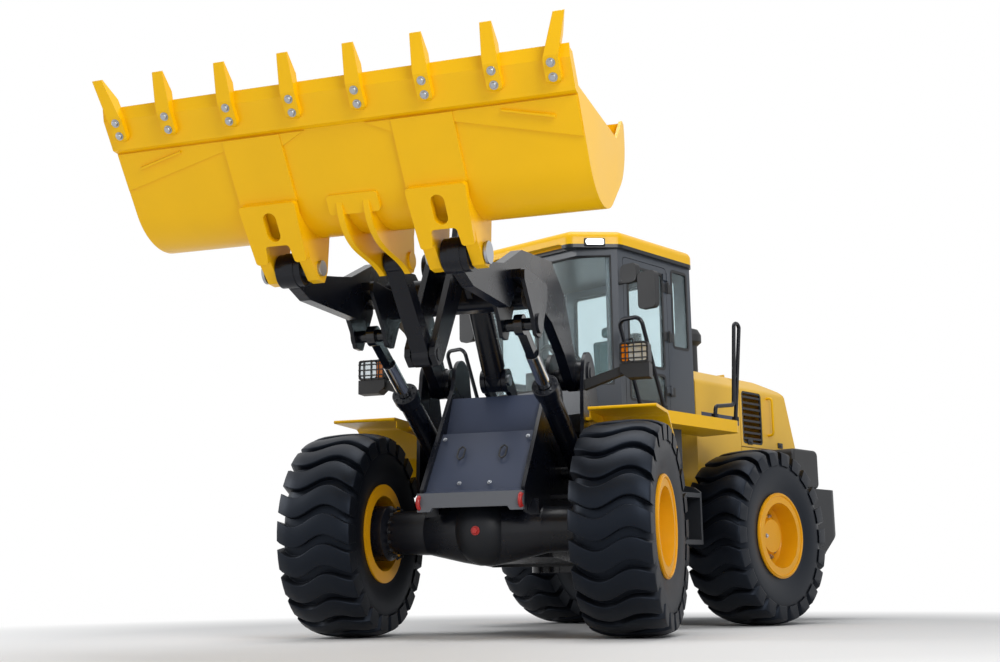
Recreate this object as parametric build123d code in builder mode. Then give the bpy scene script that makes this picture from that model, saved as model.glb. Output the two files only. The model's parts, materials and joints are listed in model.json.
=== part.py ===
from build123d import *
import os
from math import atan2, cos, degrees, hypot, radians, sin

# A five-tonne-class articulated wheel loader, parked with its bucket rolled back and its tail swung aside.
# X points forward along the front half, Y to the left, Z up, in millimetres.
# Everything is first set out from the articulation axis on the ground, and moved to its resting frame at the end.
os.makedirs("parts", exist_ok=True)

# Overall layout
WHEELBASE = 3300.0
TRACK = 2250.0
STEER_REST = 24.5
RUN_FIT = 0.05
GAP = 5.0

# Wheels
TYRE_R = 800.0
TYRE_HALF = 300.0
LUGS = 22
LUG_H = 52.0
LUG_SHARE = 0.755
LUG_SWEEP = 50.0
SHOULDER_H = 140.0
RIM_R = 320.0
RIM_WALL = 26.0
BEAD_IN = 50.0
FLANGE_H = 65.0
FLANGE_T = 14.0
DISC_T = 40.0
DISC_IN = 20.0
HUB_R = 168.0
HUB_OUT = 150.0
SPINDLE_R = 80.0
SPINDLE_L = 90.0

# Axles
AXLE_R = 165.0
AXLE_END_R = 215.0
AXLE_END_L = 330.0
DIFF_R = 265.0
PAD_H = 60.0

# Front frame
FRAME_T = 30.0
INNER_Y = 385.0
OUTER_Y = 675.0
FRONT_WALL_X = 285.0
HINGE_R = 140.0
HINGE_T = 60.0
HINGE_PIN_R = 55.0
HINGE_TOP_Z = 1210.0
HINGE_LOW_Z = 590.0
HINGE_GAP = 8.0
BOOM_PIN_R = 60.0
TOWER_R = 185.0
FENDER_T = 26.0
FENDER_CLEAR = 112.0
FENDER_OUT = 1335.0
FENDER_IN = 800.0

# Boom and linkage: places along the line from pivot to bucket pin as a share, and square to it
BOOM_REACH = 2720.0
BOOM_RISE = 350.0
LIFT_TIP_AT = (0.52958, -35.64)
ROCKER_AT = (0.53962, 444.77)
BEAM_SPOT = (0.454, 300.0)
ARM_Y = 525.0
ARM_T = 80.0
BEAM_W = 220.0
BEAM_H = 260.0
BUCKET_PIN_R = 50.0
LINK_PIN_R = 45.0
ROCKER_PIN_R = 55.0
ROCKER_IN = 70.0
ROCKER_T = 42.0
LUG_T = 40.0
EAR_IN = 110.0
EAR_T = 28.0

# Cylinders
LIFT_BARREL_R = 95.0
LIFT_ROD_R = 52.0
LIFT_BARREL_L = 1150.0
LIFT_BORE_IN = 130.0
LIFT_ROD_IN = 680.0
LIFT_FLAT_L = 330.0
TILT_BARREL_R = 95.0
TILT_ROD_R = 50.0
TILT_BARREL_L = 1180.0
TILT_ROD_L = 820.0
STEER_BARREL_R = 42.0
STEER_ROD_R = 26.0
STEER_BARREL_L = 520.0
STEER_BORE_IN = 50.0
STEER_ROD_IN_LEFT = 126.0
STEER_ROD_IN_RIGHT = 370.0
STEER_BASE = (-650.0, 300.0)
STEER_TIP = (195.0, 290.0)
STEER_Z = 840.0
PIPE_R = 13.0

# Bucket, set out along its floor (s, towards the edge) and square to it (n, into the bucket)
BUCKET_PITCH = 54.0
BUCKET_HALF = 1508.0
BUCKET_WALL = 18.0
BUCKET_SIDE = 22.0
EDGE_S = 279.0
EDGE_BACK_S = 18.0
EDGE_T = 36.0
TOOTH_L = 183.0
TOOTH_W = 92.0
TOOTH_FLARE = 80.0
TEETH = 8
STRAP_IN = 365.0
STRAP_OUT = 755.0
STRAP_T = 20.0
HORN_T = 80.0
WEAR_T = 12.0

# Rear half, set out straight behind the articulation axis
REAR_INNER_Y = 380.0
REAR_T = 40.0
TAIL_L = 1500.0
HOOD_HALF = 650.0
HOOD_T = 18.0
HOOD_H = 1245.0
HOOD_SHOULDER = 125.0
LID_LOW_H = 540.0
LID_HINGE_Y = 420.0
LID_HINGE_UP = 16.0
LID_PIN_R = 8.0
CWT_L = 390.0
CWT_HALF = 1000.0
TOW_R = 26.0

# Cab and decks
CAB_H = 1480.0
CAB_HALF = 780.0
CAB_CROSS_HALF = 570.0
CAB_SIDE_X = -120.0
CAB_FRONT_X = 110.0
CAB_FRONT_HALF = 500.0
CAB_WALL = 45.0
ROOF_T = 160.0
ROOF_OUT = 40.0
SEAT_UP = 335.0
DECK_T = 110.0
DECK_OUT = 1200.0
DECK_CLEAR = 130.0
TANK_OUT = 980.0
STEP_OUT = 1210.0
RAIL_R = 19.0

# Places that follow from the sizes above
FX = WHEELBASE / 2
RX = -WHEELBASE / 2
AZ = TYRE_R
WHEEL_Y = TRACK / 2
CARCASS_R = TYRE_R - LUG_H
BEAD_HALF = TYRE_HALF - BEAD_IN
FLANGE_R = RIM_R + FLANGE_H
AXLE_SEAT_Z = AZ + AXLE_R + PAD_H
REAR_SEAT_Z = AZ + DIFF_R + 12
ARM_MID = ARM_Y + ARM_T / 2
FENDER_Z = AZ + TYRE_R + FENDER_CLEAR
BOOM_PIVOT = (FX - 520, AZ + 1250)
LIFT_BASE = (FX - 680, AZ + 480)
TILT_BASE = (FX - 235, AZ + 1200)
BUCKET_PIN = (BOOM_PIVOT[0] + BOOM_REACH, BOOM_PIVOT[1] + BOOM_RISE)
BUCKET_REF = (BUCKET_PIN[0] + 630, BUCKET_PIN[1] + 713)
TOOTH_TIP_S = EDGE_S + TOOTH_L
TOOTH_PITCH = (2 * BUCKET_HALF - 62) / (TEETH - 1)
HOOD_FRONT_X = RX + 190
HOOD_SEAM_X = RX - 590
HOOD_LOW_Z = AZ + 380
HOOD_TOP_Z = HOOD_LOW_Z + HOOD_H
LID_LOW_Z = HOOD_LOW_Z + LID_LOW_H
REAR_END_X = RX - TAIL_L
TAIL_X = REAR_END_X - 140
CWT_END_X = REAR_END_X - CWT_L
CWT_TOP_Z = AZ + 510
WING_X = RX - TYRE_R - 190
DECK_Z = AZ + TYRE_R + DECK_CLEAR + DECK_T
CAB_FLOOR_Z = DECK_Z + 10
CAB_TOP_Z = CAB_FLOOR_Z + CAB_H
ROOF_TOP_Z = CAB_TOP_Z + ROOF_T
CAB_REAR_X = HOOD_FRONT_X + 210
DOOR_BACK_X = CAB_REAR_X + 390
DOOR_FRONT_X = CAB_SIDE_X - 70
DOOR_LOW_Z = CAB_FLOOR_Z + 60
DOOR_TOP_Z = CAB_TOP_Z - 60
DOOR_RAIL_Z = DOOR_LOW_Z + 340
WINDOW_LOW_Z = CAB_FLOOR_Z + 250
SEAT_X = CAB_REAR_X + 430
SEAT_LOW_Z = CAB_FLOOR_Z + SEAT_UP
TANK_BACK_X = RX + TYRE_R + 130
TANK_FRONT_X = CAB_FRONT_X - 270


def reach(a, b):
    return hypot(b[0] - a[0], b[1] - a[1])


def heading(a, b):
    return degrees(atan2(b[1] - a[1], b[0] - a[0]))


def on_boom(share, up):
    # a point of the boom from its share of the way to the bucket pin and its height over that line
    turn = radians(heading(BOOM_PIVOT, BUCKET_PIN))
    along = share * reach(BOOM_PIVOT, BUCKET_PIN)
    return (BOOM_PIVOT[0] + along * cos(turn) - up * sin(turn),
            BOOM_PIVOT[1] + along * sin(turn) + up * cos(turn))


def on_bucket(s, n):
    turn = radians(BUCKET_PITCH)
    x = BUCKET_REF[0] + s * cos(turn) - n * sin(turn)
    z = BUCKET_REF[1] + s * sin(turn) + n * cos(turn)
    return (x, z)


def off_bucket(point):
    turn = radians(BUCKET_PITCH)
    dx = point[0] - BUCKET_REF[0]
    dz = point[1] - BUCKET_REF[1]
    return (dx * cos(turn) + dz * sin(turn), dz * cos(turn) - dx * sin(turn))


def near(point, dx, dz):
    return (point[0] + dx, point[1] + dz)


def side_plane(y):
    return Plane(origin=(0, y, 0), x_dir=(1, 0, 0), z_dir=(0, -1, 0))


def axis_plane(point, turn, y=0.0):
    # a plane square to a cylinder that lies upright along X, facing along it
    way = (cos(radians(turn)), 0, sin(radians(turn)))
    return Plane(origin=(point[0], y, point[1]), x_dir=(0, 1, 0), z_dir=way)


def floor_plane(n):
    # a plane along the bucket's floor, facing out of it, with s along its X and Y turned about
    turn = radians(BUCKET_PITCH)
    x, z = on_bucket(0, n)
    return Plane(origin=(x, 0, z), x_dir=(cos(turn), 0, sin(turn)), z_dir=(sin(turn), 0, -cos(turn)))


ROCKER_PIVOT = on_boom(*ROCKER_AT)
LIFT_TIP = on_boom(*LIFT_TIP_AT)
BEAM_AT = on_boom(*BEAM_SPOT)
ROCKER_LOW = near(ROCKER_PIVOT, 465, -733)
ROCKER_TOP = near(ROCKER_PIVOT, -126, 689)
LINK_TIP = near(BUCKET_PIN, -333, 89)

# Tyre: a carcass of flat facets, one to a lug, with wavy lugs right across the tread
LUG_W = LUG_SHARE * 2 * TYRE_R * sin(radians(180 / LUGS))
LUG_TOP = (TYRE_R ** 2 - (LUG_W / 2 + LUG_SWEEP) ** 2) ** 0.5
LUG_WAVE = ((-1.0, 0.25), (-0.5, -1.0), (0.32, 1.0), (1.0, -0.9))
with BuildPart() as lug:
    with BuildSketch(Plane.YZ.offset(CARCASS_R - 80)):
        with BuildLine():
            Polyline(*[(LUG_SWEEP * c - LUG_W / 2, TYRE_HALF * z) for z, c in LUG_WAVE],
                     *[(LUG_SWEEP * c + LUG_W / 2, TYRE_HALF * z) for z, c in reversed(LUG_WAVE)], close=True)
        make_face()
    extrude(amount=LUG_TOP - CARCASS_R + 80)
    with BuildSketch(Plane.XZ):
        Polygon((TYRE_R - SHOULDER_H + 10, TYRE_HALF), (LUG_TOP, TYRE_HALF - 24), (LUG_TOP, 24 - TYRE_HALF),
                (TYRE_R - SHOULDER_H + 10, -TYRE_HALF), align=None)
    extrude(amount=LUG_W + 2 * LUG_SWEEP, both=True, mode=Mode.INTERSECT)

with BuildPart() as tyre:
    with BuildSketch(Plane.XY.offset(65 - TYRE_HALF)):
        RegularPolygon(CARCASS_R, LUGS)
    extrude(amount=2 * (TYRE_HALF - 65))
    for side in (1, -1):
        with BuildSketch(Plane.XY.offset(side * (TYRE_HALF - 65))):
            RegularPolygon(CARCASS_R, LUGS)
        with BuildSketch(Plane.XY.offset(side * (TYRE_HALF - 10))):
            RegularPolygon(TYRE_R - SHOULDER_H, LUGS)
        loft(ruled=True)
    with PolarLocations(0, LUGS):
        add(lug.part)
    with BuildSketch(Plane.XY.offset(-TYRE_HALF)):
        Circle(RIM_R)
    extrude(amount=2 * TYRE_HALF, mode=Mode.SUBTRACT)
    for side in (1, -1):
        with BuildSketch(Plane.XY.offset(side * BEAD_HALF)):
            RegularPolygon(FLANGE_R + 20, LUGS)
        with BuildSketch(Plane.XY.offset(side * (TYRE_HALF - 10))):
            RegularPolygon(TYRE_R - SHOULDER_H, LUGS)
        loft(ruled=True, mode=Mode.SUBTRACT)

# Rim: a dished wheel with flanges, a bolted disc and a planetary hub cover standing out of it
with BuildPart() as rim:
    with BuildSketch(Plane.XZ):
        with BuildLine():
            Polyline((RIM_R - RIM_WALL, -BEAD_HALF - FLANGE_T), (FLANGE_R, -BEAD_HALF - FLANGE_T),
                     (FLANGE_R, -BEAD_HALF), (RIM_R, -BEAD_HALF), (RIM_R, BEAD_HALF), (FLANGE_R, BEAD_HALF),
                     (FLANGE_R, BEAD_HALF + FLANGE_T), (RIM_R - RIM_WALL, BEAD_HALF + FLANGE_T),
                     (RIM_R - RIM_WALL - 12, DISC_IN + DISC_T + 40),
                     (RIM_R - RIM_WALL - 40, DISC_IN + DISC_T),
                     (HUB_R + 40, DISC_IN + DISC_T), (HUB_R + 20, DISC_IN + DISC_T + 55),
                     (HUB_R, DISC_IN + DISC_T + 55), (HUB_R - 18, DISC_IN + HUB_OUT), (0, DISC_IN + HUB_OUT),
                     (0, DISC_IN), (RIM_R - RIM_WALL, DISC_IN), close=True)
        make_face()
    revolve(axis=Axis.Z)
    with BuildSketch(Plane.XY.offset(DISC_IN)):
        Circle(SPINDLE_R + RUN_FIT)
    extrude(amount=SPINDLE_L + GAP, mode=Mode.SUBTRACT)

# Axles: a banjo housing that swells round the differential, with a stub at each end that carries the hub
HUB_FACE = WHEEL_Y + DISC_IN - GAP
AXLE_HALF = ((WHEEL_Y + DISC_IN + SPINDLE_L, 0), (WHEEL_Y + DISC_IN + SPINDLE_L, SPINDLE_R),
             (HUB_FACE, SPINDLE_R),
             (HUB_FACE, AXLE_END_R), (HUB_FACE - AXLE_END_L, AXLE_END_R),
             (HUB_FACE - AXLE_END_L - 40, AXLE_R),
             (2 * DIFF_R - 60, AXLE_R + 12), (DIFF_R - 70, DIFF_R - 25), (60, DIFF_R))
AXLE_FULL = (*AXLE_HALF, *[(-y, r) for y, r in reversed(AXLE_HALF)])
with BuildPart() as front_axle:
    with BuildSketch(Plane(origin=(FX, 0, AZ), x_dir=(0, 1, 0), z_dir=(1, 0, 0))):
        Polygon(*AXLE_FULL, align=None)
    revolve(axis=Axis((FX, 0, AZ), (0, 1, 0)))
    with BuildSketch(Plane(origin=(FX, 0, AZ), x_dir=(1, 0, 0), z_dir=(0, -1, 0))):
        with BuildLine():
            Polyline((0, 0), (DIFF_R + 45, 0))
            Spline((DIFF_R + 45, 0), (DIFF_R + 15, 110), (DIFF_R - 75, DIFF_R - 75),
                   tangents=[(0, 1), (-0.8, 0.6)])
            Polyline((DIFF_R - 75, DIFF_R - 75), (0, DIFF_R - 75), (0, 0))
        make_face()
    revolve(axis=Axis((FX, 0, AZ), (1, 0, 0)))
    with BuildSketch(Plane.YZ.offset(FX)):
        with Locations((0, AZ)):
            Circle(110)
    extrude(amount=-2 * DIFF_R)
    for y in (INNER_Y + FRAME_T / 2, -INNER_Y - FRAME_T / 2):
        with Locations((FX, y, AXLE_SEAT_Z - PAD_H)):
            Box(330, 110, 2 * PAD_H)

with BuildPart() as rear_axle:
    with BuildSketch(Plane(origin=(RX, 0, AZ), x_dir=(0, 1, 0), z_dir=(1, 0, 0))):
        Polygon(*AXLE_FULL, align=None)
    revolve(axis=Axis((RX, 0, AZ), (0, 1, 0)))
    with BuildSketch(Plane.YZ.offset(RX)):
        with Locations((0, AZ)):
            Circle(110)
    extrude(amount=2 * DIFF_R)
    with Locations((RX, 0, REAR_SEAT_Z - 75)):
        Box(360, 420, 150)

# Front frame: paired towers for the boom, a sloped throat between them and the hinge lugs behind
with BuildPart() as front_frame:
    with BuildSketch(side_plane(INNER_Y + FRAME_T)) as inner_wall:
        Polygon((FRONT_WALL_X, AZ - 260), (FX - 350, AZ - 200), (FX - 210, AZ + 20), (FX - 210, AXLE_SEAT_Z),
                (FX + 190, AXLE_SEAT_Z), (FX + 330, AZ + 120), (FX + 385, AZ + 300), (FX - 285, AZ + 1150),
                (FX - 335, AZ + 1250), near(BOOM_PIVOT, 0, TOWER_R), near(BOOM_PIVOT, -TOWER_R, 0),
                (FX - 850, AZ + 760), (FRONT_WALL_X, AZ + 600), align=None)
        with Locations(BOOM_PIVOT):
            Circle(TOWER_R)
    extrude(amount=FRAME_T)
    with BuildSketch(side_plane(OUTER_Y + FRAME_T)) as outer_wall:
        Polygon((FX - 870, AZ + 250), (FX - 320, AZ + 250), (FX - 270, AZ + 450), (FX - 300, AZ + 1100),
                near(BOOM_PIVOT, TOWER_R, 0), near(BOOM_PIVOT, 0, TOWER_R), near(BOOM_PIVOT, -TOWER_R, 0),
                (FX - 910, AZ + 660), align=None)
        with Locations(BOOM_PIVOT):
            Circle(TOWER_R)
    extrude(amount=FRAME_T)
    with BuildSketch(side_plane(OUTER_Y)):
        Polygon((FX - 870, AZ + 250), (FX - 320, AZ + 250), (FX - 320, AZ + 280), (FX - 840, AZ + 280),
                (FX - 820, AZ + 760), (FX - 850, AZ + 760), align=None)
    extrude(amount=OUTER_Y - INNER_Y - FRAME_T)
    with BuildSketch(side_plane(OUTER_Y + FRAME_T + 22)):
        with Locations(BOOM_PIVOT):
            Circle(BOOM_PIN_R)
        with Locations(LIFT_BASE):
            Circle(BUCKET_PIN_R)
    extrude(amount=OUTER_Y + FRAME_T + 22 - INNER_Y)
    with BuildSketch(side_plane(OUTER_Y + FRAME_T + 14)):
        with Locations(BOOM_PIVOT):
            Circle(BOOM_PIN_R + 45)
    extrude(amount=14)
    mirror(about=Plane.XZ)
    with Locations((FRONT_WALL_X + FRAME_T / 2, 0, AZ + 170)):
        Box(FRAME_T, 2 * INNER_Y + 2 * FRAME_T, 860)
    # cross plates between the inner walls
    with BuildSketch(side_plane(INNER_Y)):
        Polygon((FX - 500, AZ + 960), (FX - 320, AZ + 960), (FX - 320, AZ + 1080), (FX - 500, AZ + 1080),
                align=None)
        Polygon((FX + 250, AZ + 215), (FX + 285, AZ + 215), (FX + 285, AZ + 300), (FX + 250, AZ + 300),
                align=None)
        Polygon((FX - 190, AZ + DIFF_R + 15), (FX + 190, AZ + DIFF_R + 15), (FX + 190, AZ + DIFF_R + 45),
                (FX - 190, AZ + DIFF_R + 45), align=None)
        Polygon((FRONT_WALL_X, AZ - 240), (FX - 350, AZ - 200), (FX - 350, AZ - 175),
                (FRONT_WALL_X, AZ - 210),
                align=None)
    extrude(amount=2 * INNER_Y)
    # hinge lugs of the articulation
    for z in (HINGE_TOP_Z, HINGE_LOW_Z):
        with BuildSketch(Plane.XY.offset(z - HINGE_T / 2)):
            Circle(HINGE_R)
            Polygon((0, -HINGE_R), (FRONT_WALL_X, -HINGE_R - 90), (FRONT_WALL_X, HINGE_R + 90),
                    (0, HINGE_R), align=None)
            Circle(HINGE_PIN_R + RUN_FIT, mode=Mode.SUBTRACT)
        extrude(amount=HINGE_T)
    # ears for the tilt cylinder's foot
    for y in (ROCKER_IN + LUG_T, -ROCKER_IN):
        with BuildSketch(side_plane(y)):
            with Locations(TILT_BASE):
                Circle(LINK_PIN_R + 50)
            Polygon((FX - 500, AZ + 1080), (FX - 320, AZ + 1080), near(TILT_BASE, 80, -50),
                    near(TILT_BASE, -50, 80),
                    align=None)
        extrude(amount=LUG_T)
    with BuildSketch(side_plane(ROCKER_IN + LUG_T + 12)):
        with Locations(TILT_BASE):
            Circle(LINK_PIN_R + RUN_FIT)
    extrude(amount=2 * (ROCKER_IN + LUG_T + 12), mode=Mode.SUBTRACT)
    # ears for the steering rods
    for side in (1, -1):
        for z in (STEER_Z + 45, STEER_Z - 45 - 22):
            with BuildSketch(Plane.XY.offset(z)):
                Polygon((FRONT_WALL_X, side * 180), (STEER_TIP[0] - 45, side * STEER_TIP[1] - side * 40),
                        (STEER_TIP[0] - 45, side * STEER_TIP[1] + side * 40), (FRONT_WALL_X, side * 400),
                        align=None)
            extrude(amount=22)

# Sloped cover plate over the throat, sunk between the side walls, and the cross beam at its foot
with BuildPart() as front_cover:
    with BuildSketch(side_plane(INNER_Y)):
        Polygon((FX + 305, AZ + 290), (FX + 335, AZ + 290), (FX - 40, AZ + 766), (FX - 70, AZ + 766),
                align=None)
    extrude(amount=2 * INNER_Y)
    with BuildSketch(side_plane(INNER_Y)):
        Polygon((FX - 150, AZ + 740), (FX - 45, AZ + 740), (FX - 40, AZ + 766), (FX - 120, AZ + 766),
                (FX - 270, AZ + 1080),
                (FX - 300, AZ + 1080), align=None)
    extrude(amount=2 * INNER_Y)
    with BuildSketch(Plane.YZ.offset(FX + 400)) as beam_face:
        Polygon((-INNER_Y - FRAME_T, AZ + 130), (-INNER_Y + 70, AZ + 130), (-INNER_Y + 90, AZ + 160),
                (INNER_Y - 90, AZ + 160), (INNER_Y - 70, AZ + 130), (INNER_Y + FRAME_T, AZ + 130),
                (INNER_Y + FRAME_T, AZ + 270), (-INNER_Y - FRAME_T, AZ + 270), align=None)
    extrude(amount=40)
    with BuildSketch(side_plane(INNER_Y)):
        Polygon((FX + 285, AZ + 215), (FX + 400, AZ + 215), (FX + 400, AZ + 270), (FX + 335, AZ + 290),
                (FX + 305, AZ + 290), (FX + 285, AZ + 270), align=None)
    extrude(amount=2 * INNER_Y)

# Front mudguards, flat over the wheel and sloping down behind it, each on a bracket from its tower
with BuildPart() as fender_left:
    with BuildSketch(side_plane(FENDER_OUT)):
        with BuildLine():
            FilletPolyline((FX - 50, FENDER_Z), (FX - 500, FENDER_Z), (FX - 850, FENDER_Z - 250),
                           (FX - 920, FENDER_Z - 470), radius=120)
            offset(amount=FENDER_T / 2, side=Side.BOTH)
        make_face()
    extrude(amount=FENDER_OUT - FENDER_IN)
    with BuildSketch(side_plane(FENDER_IN + 8)):
        with BuildLine():
            Polyline((FX - 90, FENDER_Z), (FX - 480, FENDER_Z), (FX - 790, FENDER_Z - 210),
                     (FX - 700, FENDER_Z - 210),
                     (FX - 560, FENDER_Z - 90), (FX - 90, FENDER_Z - 70), close=True)
        make_face()
    extrude(amount=8)
    with Locations((FX - 425, (OUTER_Y + FRAME_T + FENDER_IN + 10) / 2, FENDER_Z - 40)):
        Box(150, FENDER_IN + 10 - OUTER_Y - FRAME_T, 24)

with BuildPart() as fender_right:
    add(mirror(fender_left.part, about=Plane.XZ, mode=Mode.PRIVATE))

# Headlamps over a small box, on slanted arms that stand on the towers
LAMP_Y = OUTER_Y + FRAME_T + 415
LAMP_Z = FENDER_Z + 460
with BuildPart() as headlamp_left:
    with BuildSketch(Plane.YZ.offset(FX - 400)):
        Polygon((OUTER_Y + FRAME_T, LAMP_Z - 270), (LAMP_Y - 100, LAMP_Z - 165), (LAMP_Y - 100, LAMP_Z - 95),
                (OUTER_Y + FRAME_T, LAMP_Z - 190), align=None)
    extrude(amount=70)
    with BuildSketch(Plane.YZ.offset(FX - 430)):
        Polygon((LAMP_Y - 60, LAMP_Z - 200), (LAMP_Y + 118, LAMP_Z - 200), (LAMP_Y + 118, LAMP_Z - 84),
                (LAMP_Y - 118, LAMP_Z - 84), (LAMP_Y - 118, LAMP_Z - 150), align=None)
    extrude(amount=130)
    with BuildSketch(Plane.YZ.offset(FX - 425)):
        with Locations((LAMP_Y, LAMP_Z)):
            RectangleRounded(230, 168, 22)
    extrude(amount=130)
    with BuildSketch(Plane.YZ.offset(FX - 295)):
        with Locations((LAMP_Y, LAMP_Z)):
            RectangleRounded(206, 144, 14)
    extrude(amount=-22, mode=Mode.SUBTRACT)
    # upright and level bars of the lamp's guard
    with BuildSketch(Plane.YZ.offset(FX - 296)):
        with Locations((LAMP_Y, LAMP_Z)):
            with GridLocations(66, 0, 3, 1):
                Rectangle(8, 168)
            with GridLocations(0, 46, 1, 3):
                Rectangle(230, 8)
    extrude(amount=8)

with BuildPart() as headlamp_right:
    add(mirror(headlamp_left.part, about=Plane.XZ, mode=Mode.PRIVATE))

# Boom: two deep arched arms, a cross beam and the ears that carry the rocker and the lift rods
ARM_OUTLINE = ((1.0, -112), (0.9345, -142), (0.66, -30), (0.605, 178), (0.45, 238), (0.285, 200), (0.15, 60),
               (0.06, -85), (0.0, -125), (-0.045, 0), (0.03, 125), (0.1613, 538), (0.2967, 681),
               (0.5778, 481),
               (0.72, 235), (0.80, 158), (0.89, 75), (1.0, 112))
with BuildPart() as boom:
    with BuildSketch(side_plane(ARM_Y + ARM_T)):
        with BuildLine():
            FilletPolyline(*[on_boom(share, up) for share, up in ARM_OUTLINE], radius=40, close=True)
        make_face()
        with Locations(BUCKET_PIN):
            Circle(115)
        with Locations(BOOM_PIVOT):
            Circle(128)
    extrude(amount=ARM_T)
    with BuildSketch(side_plane(ARM_Y + ARM_T + 45)):
        with Locations(BUCKET_PIN):
            Circle(110)
    extrude(amount=ARM_T + 90)
    with BuildSketch(side_plane(ARM_Y + ARM_T + 50)):
        with Locations(BOOM_PIVOT):
            Circle(118)
    extrude(amount=ARM_T + 100)
    # wide ears under the arm for the lift rod, hung from a block across it
    for y in (ARM_MID + EAR_IN + EAR_T, ARM_MID - EAR_IN):
        with BuildSketch(side_plane(y)):
            with BuildLine():
                FilletPolyline(near(LIFT_TIP, -240, 225), near(LIFT_TIP, -105, -10), near(LIFT_TIP, -60, -95),
                               near(LIFT_TIP, 60, -95), near(LIFT_TIP, 120, 20), near(LIFT_TIP, 330, 250),
                               near(LIFT_TIP, 330, 335), near(LIFT_TIP, -240, 335), radius=30, close=True)
            make_face()
        extrude(amount=EAR_T)
    with BuildSketch(side_plane(ARM_MID + EAR_IN + EAR_T + 16)):
        with Locations(LIFT_TIP):
            Circle(72)
    extrude(amount=16)
    with BuildSketch(side_plane(ARM_MID + EAR_IN + 2)):
        Polygon(near(LIFT_TIP, -225, 252), near(LIFT_TIP, 315, 270), near(LIFT_TIP, 315, 330),
                near(LIFT_TIP, -225, 330),
                align=None)
    extrude(amount=2 * EAR_IN + 4)
    mirror(about=Plane.XZ)
    with BuildSketch(side_plane(ARM_Y + 10)):
        with Locations(BEAM_AT):
            RectangleRounded(BEAM_W, BEAM_H, 60)
    extrude(amount=2 * ARM_Y + 20)
    for y in (ROCKER_IN + ROCKER_T + GAP + 3 + LUG_T, -ROCKER_IN - ROCKER_T - GAP - 3):
        with BuildSketch(side_plane(y)):
            Polygon(near(BEAM_AT, -90, 70), near(ROCKER_PIVOT, -95, 55), near(ROCKER_PIVOT, 60, -95),
                    near(BEAM_AT, 100, -60), align=None)
            with Locations(ROCKER_PIVOT):
                Circle(ROCKER_PIN_R + 55)
        extrude(amount=LUG_T)
    with BuildSketch(side_plane(ARM_Y + ARM_T + 60)):
        with Locations(BUCKET_PIN):
            Circle(BUCKET_PIN_R + RUN_FIT)
        with Locations(BOOM_PIVOT):
            Circle(BOOM_PIN_R + RUN_FIT)
    extrude(amount=2 * (ARM_Y + ARM_T + 60), mode=Mode.SUBTRACT)
    with BuildSketch(side_plane(240)):
        with Locations(ROCKER_PIVOT):
            Circle(ROCKER_PIN_R + RUN_FIT)
    extrude(amount=480, mode=Mode.SUBTRACT)

# Pins of the bucket, the rocker and the tilt cylinder's foot
PIN_OUT = STRAP_OUT + 5
with BuildPart() as bucket_pins:
    with BuildSketch(side_plane(PIN_OUT)):
        with Locations(BUCKET_PIN):
            Circle(BUCKET_PIN_R)
    extrude(amount=PIN_OUT - STRAP_IN + 5)
    with BuildSketch(side_plane(PIN_OUT + 8)):
        with Locations(BUCKET_PIN):
            Circle(BUCKET_PIN_R + 22)
    extrude(amount=18)
    mirror(about=Plane.XZ)

ROCKER_PIN_HALF = ROCKER_IN + ROCKER_T + GAP + 3 + LUG_T + 18
with BuildPart() as rocker_pin:
    with BuildSketch(side_plane(ROCKER_PIN_HALF)):
        with Locations(ROCKER_PIVOT):
            Circle(ROCKER_PIN_R)
    extrude(amount=2 * ROCKER_PIN_HALF)

with BuildPart() as tilt_pin:
    with BuildSketch(side_plane(ROCKER_IN + LUG_T + 10)):
        with Locations(TILT_BASE):
            Circle(LINK_PIN_R)
    extrude(amount=2 * (ROCKER_IN + LUG_T + 10))

# Rocker: two cheek plates on a common boss, with the link's pin fixed in its foot
with BuildPart() as rocker:
    for y in (ROCKER_IN + ROCKER_T, -ROCKER_IN):
        with BuildSketch(side_plane(y)):
            with BuildLine():
                FilletPolyline(near(ROCKER_LOW, -78, -40), near(ROCKER_LOW, 0, -85),
                               near(ROCKER_LOW, 85, -20),
                               near(ROCKER_LOW, 80, 40), near(ROCKER_PIVOT, 135, 20),
                               near(ROCKER_TOP, 85, -10),
                               near(ROCKER_TOP, 45, 80), near(ROCKER_TOP, -45, 80), near(ROCKER_TOP, -85, 0),
                               near(ROCKER_PIVOT, -125, 40), near(ROCKER_PIVOT, -100, -70), radius=25,
                               close=True)
            make_face()
        extrude(amount=ROCKER_T)
    with BuildSketch(side_plane(ROCKER_IN + ROCKER_T + 4)):
        with Locations(ROCKER_PIVOT):
            Circle(100)
    extrude(amount=2 * (ROCKER_IN + ROCKER_T + 4))
    for y in (ROCKER_IN + ROCKER_T + 7, -ROCKER_IN - ROCKER_T):
        with BuildSketch(side_plane(y)):
            with Locations(ROCKER_TOP):
                Circle(55)
        extrude(amount=7)
    with BuildSketch(side_plane(240)):
        with Locations(ROCKER_PIVOT):
            Circle(ROCKER_PIN_R + RUN_FIT)
    extrude(amount=480, mode=Mode.SUBTRACT)
    with BuildSketch(side_plane(ROCKER_IN + ROCKER_T + 6)):
        with Locations(ROCKER_LOW):
            Circle(LINK_PIN_R)
    extrude(amount=2 * (ROCKER_IN + ROCKER_T + 6))

# Link between the rocker's foot and the ears on the back of the bucket
LINK_HALF = ROCKER_IN - 10
LINK_L = reach(ROCKER_LOW, LINK_TIP)
with BuildPart() as link:
    with BuildSketch(side_plane(LINK_HALF)):
        with Locations(ROCKER_LOW):
            Circle(82)
        with Locations(LINK_TIP):
            Circle(70)
        with Locations(Location((*near(ROCKER_LOW, (LINK_TIP[0] - ROCKER_LOW[0]) / 2,
                                       (LINK_TIP[1] - ROCKER_LOW[1]) / 2), 0),
                                (0, 0, heading(ROCKER_LOW, LINK_TIP)))):
            Rectangle(LINK_L, 112)
        with Locations(ROCKER_LOW):
            Circle(LINK_PIN_R + RUN_FIT, mode=Mode.SUBTRACT)
    extrude(amount=2 * LINK_HALF)

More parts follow.
